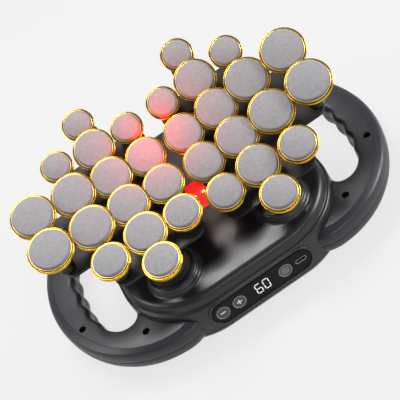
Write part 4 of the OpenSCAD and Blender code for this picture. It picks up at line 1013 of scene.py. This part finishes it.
def make_window():
    """The red window with a rounded edge, and the two lit lamps that show through it."""
    top = COVER_TOP + 0.4
    edges = ((COVER_TOP - 3, 0), (COVER_TOP - 0.1, 0), (COVER_TOP + 0.15, 0.1), (COVER_TOP + 0.34, 0.4),
             (top, 0.9))
    rings = [rounded_outline(LAMP_W / 2 - edge, LAMP_L / 2 - edge, LAMP_CORNER - edge, z)
             for z, edge in edges]
    window = lofted("red_window", rings, RED_WINDOW)
    window.data.transform(Matrix.Translation((0, LAMP_Y * MM, 0)))
    fit(window, "housing", "red_window", "lamp_window")
    lens = turned("lens", [(0, top - 0.5), (1.5, top - 0.5), (1.5, top + 0.05), (1.3, top + 0.35),
                           (0.9, top + 0.6), (0.4, top + 0.72), (0, top + 0.75)], LAMP_GLOW, sides=32)
    for number, (x, y) in enumerate(LAMP_SPOTS, 1):
        fit(copy_piece(lens, f"lamp_lens_{number}", Matrix.Translation((x * MM, y * MM, 0))), "housing",
            "red_window")
    drop(lens)


# Camera, light and floor
def add_camera():
    """Looks down at the object from in front, and rolled, as the photograph does."""
    forward = Vector((0, math.cos(CAMERA_PITCH), -math.sin(CAMERA_PITCH)))
    level = Vector((1, 0, 0))
    over = level.cross(forward)
    right = level * math.cos(CAMERA_ROLL) - over * math.sin(CAMERA_ROLL)
    up = level * math.sin(CAMERA_ROLL) + over * math.cos(CAMERA_ROLL)
    data = bpy.data.cameras.new("camera")
    data.sensor_width = SENSOR_W
    data.lens = SENSOR_W * FOCAL_PIXELS / PHOTO_SIZE
    data.clip_start = 0.01
    data.clip_end = 20
    camera = bpy.data.objects.new("camera", data)
    bpy.context.collection.objects.link(camera)
    place = Matrix.Translation(Vector(CAMERA_PLACE) * MM)
    camera.matrix_world = place @ Matrix((right, up, -forward)).transposed().to_4x4()
    bpy.context.scene.camera = camera


def softbox(name, place, target, width, height, watts, colour="#ffffff", in_gloss=True):
    """A rectangular lamp, in metres; in_gloss=False keeps its picture out of glossy surfaces."""
    data = bpy.data.lights.new(name, "AREA")
    data.shape = "RECTANGLE"
    data.size = width
    data.size_y = height
    data.energy = watts
    data.color = linear(colour)[:3]
    lamp = bpy.data.objects.new(name, data)
    lamp.visible_glossy = in_gloss
    bpy.context.collection.objects.link(lamp)
    lamp.location = place
    lamp.rotation_euler = (Vector(target) - Vector(place)).to_track_quat("-Z", "Y").to_euler()


RED_LIGHT = "#ff1a10"
WORLD_LEVEL = 0.28


def add_light():
    """Four white softboxes, the red light between the head groups, and a pale even world."""
    middle = (0, 0, 0.06)
    softbox("overhead_softbox", (-0.12, 0.5, 1.2), middle, 0.8, 0.45, 13.5)
    softbox("front_softbox", (0.3, -1.3, 0.6), middle, 1.1, 0.3, 3.2)
    softbox("left_softbox", (-1.2, 0.1, 0.7), middle, 0.7, 0.6, 5)
    softbox("right_softbox", (1.3, -0.3, 0.42), middle, 0.7, 0.4, 14)
    softbox("red_glow_middle", (0, 0, 0.086), (0, 0.06, 0.12), 0.012, 0.012, 0.15, RED_LIGHT)
    softbox("red_glow_rear", (0, 0.04, 0.1), (0, 0.09, 0.14), 0.012, 0.012, 0.17, RED_LIGHT)
    softbox("red_haze", (-0.004, 0.01, 0.165), (-0.004, 0.034, 0.12), 0.02, 0.02, 0.05, RED_LIGHT, False)
    world = bpy.data.worlds.new("studio")
    bpy.context.scene.world = world
    world.use_nodes = True
    tree = world.node_tree
    path = add_node(tree, "ShaderNodeLightPath")
    strength = add_node(tree, "ShaderNodeMapRange", {}, {"Value": path.outputs["Is Camera Ray"],
                                                         "To Min": WORLD_LEVEL, "To Max": 1.0})
    sky = tree.nodes["Background"]
    sky.inputs["Color"].default_value = linear("#f2f2f2")
    tree.links.new(strength.outputs["Result"], sky.inputs["Strength"])


def add_floor():
    """Pale paper: seen directly it shows its own pale tone with the object's shadow on it."""
    start_fresh()
    bpy.ops.mesh.primitive_plane_add(size=8, location=(0, 0, 0))
    floor = bpy.context.object
    floor.name = "floor"
    material, tree, shader, _ = start_material("pale_backdrop_paper")
    set_shader(shader, Base_Color=linear("#6a6a6a"), Roughness=0.9)
    shown = add_node(tree, "ShaderNodeBsdfDiffuse", {}, {"Color": linear("#606060")})
    glow = add_node(tree, "ShaderNodeEmission", {}, {"Color": linear("#f1f1f1"), "Strength": 0.85})
    both = add_node(tree, "ShaderNodeAddShader", {}, {0: shown.outputs["BSDF"], 1: glow.outputs["Emission"]})
    path = add_node(tree, "ShaderNodeLightPath")
    seen = add_node(tree, "ShaderNodeMath", {"operation": "MAXIMUM"},
                    {0: path.outputs["Is Camera Ray"], 1: path.outputs["Is Glossy Ray"]})
    mix = add_node(tree, "ShaderNodeMixShader", {}, {"Fac": seen.outputs["Value"], 1: shader.outputs["BSDF"],
                                                     2: both.outputs["Shader"]})
    tree.links.new(mix.outputs["Shader"], tree.nodes["Material Output"].inputs["Surface"])
    floor.data.materials.append(material)


add_camera()
finish_nodes()
make_heads()
make_cover()
make_handles()
make_boots()
make_keys()
make_digits()
make_port_line()
make_window()
add_light()
add_floor()
bpy.context.scene.view_settings.view_transform = "Standard"
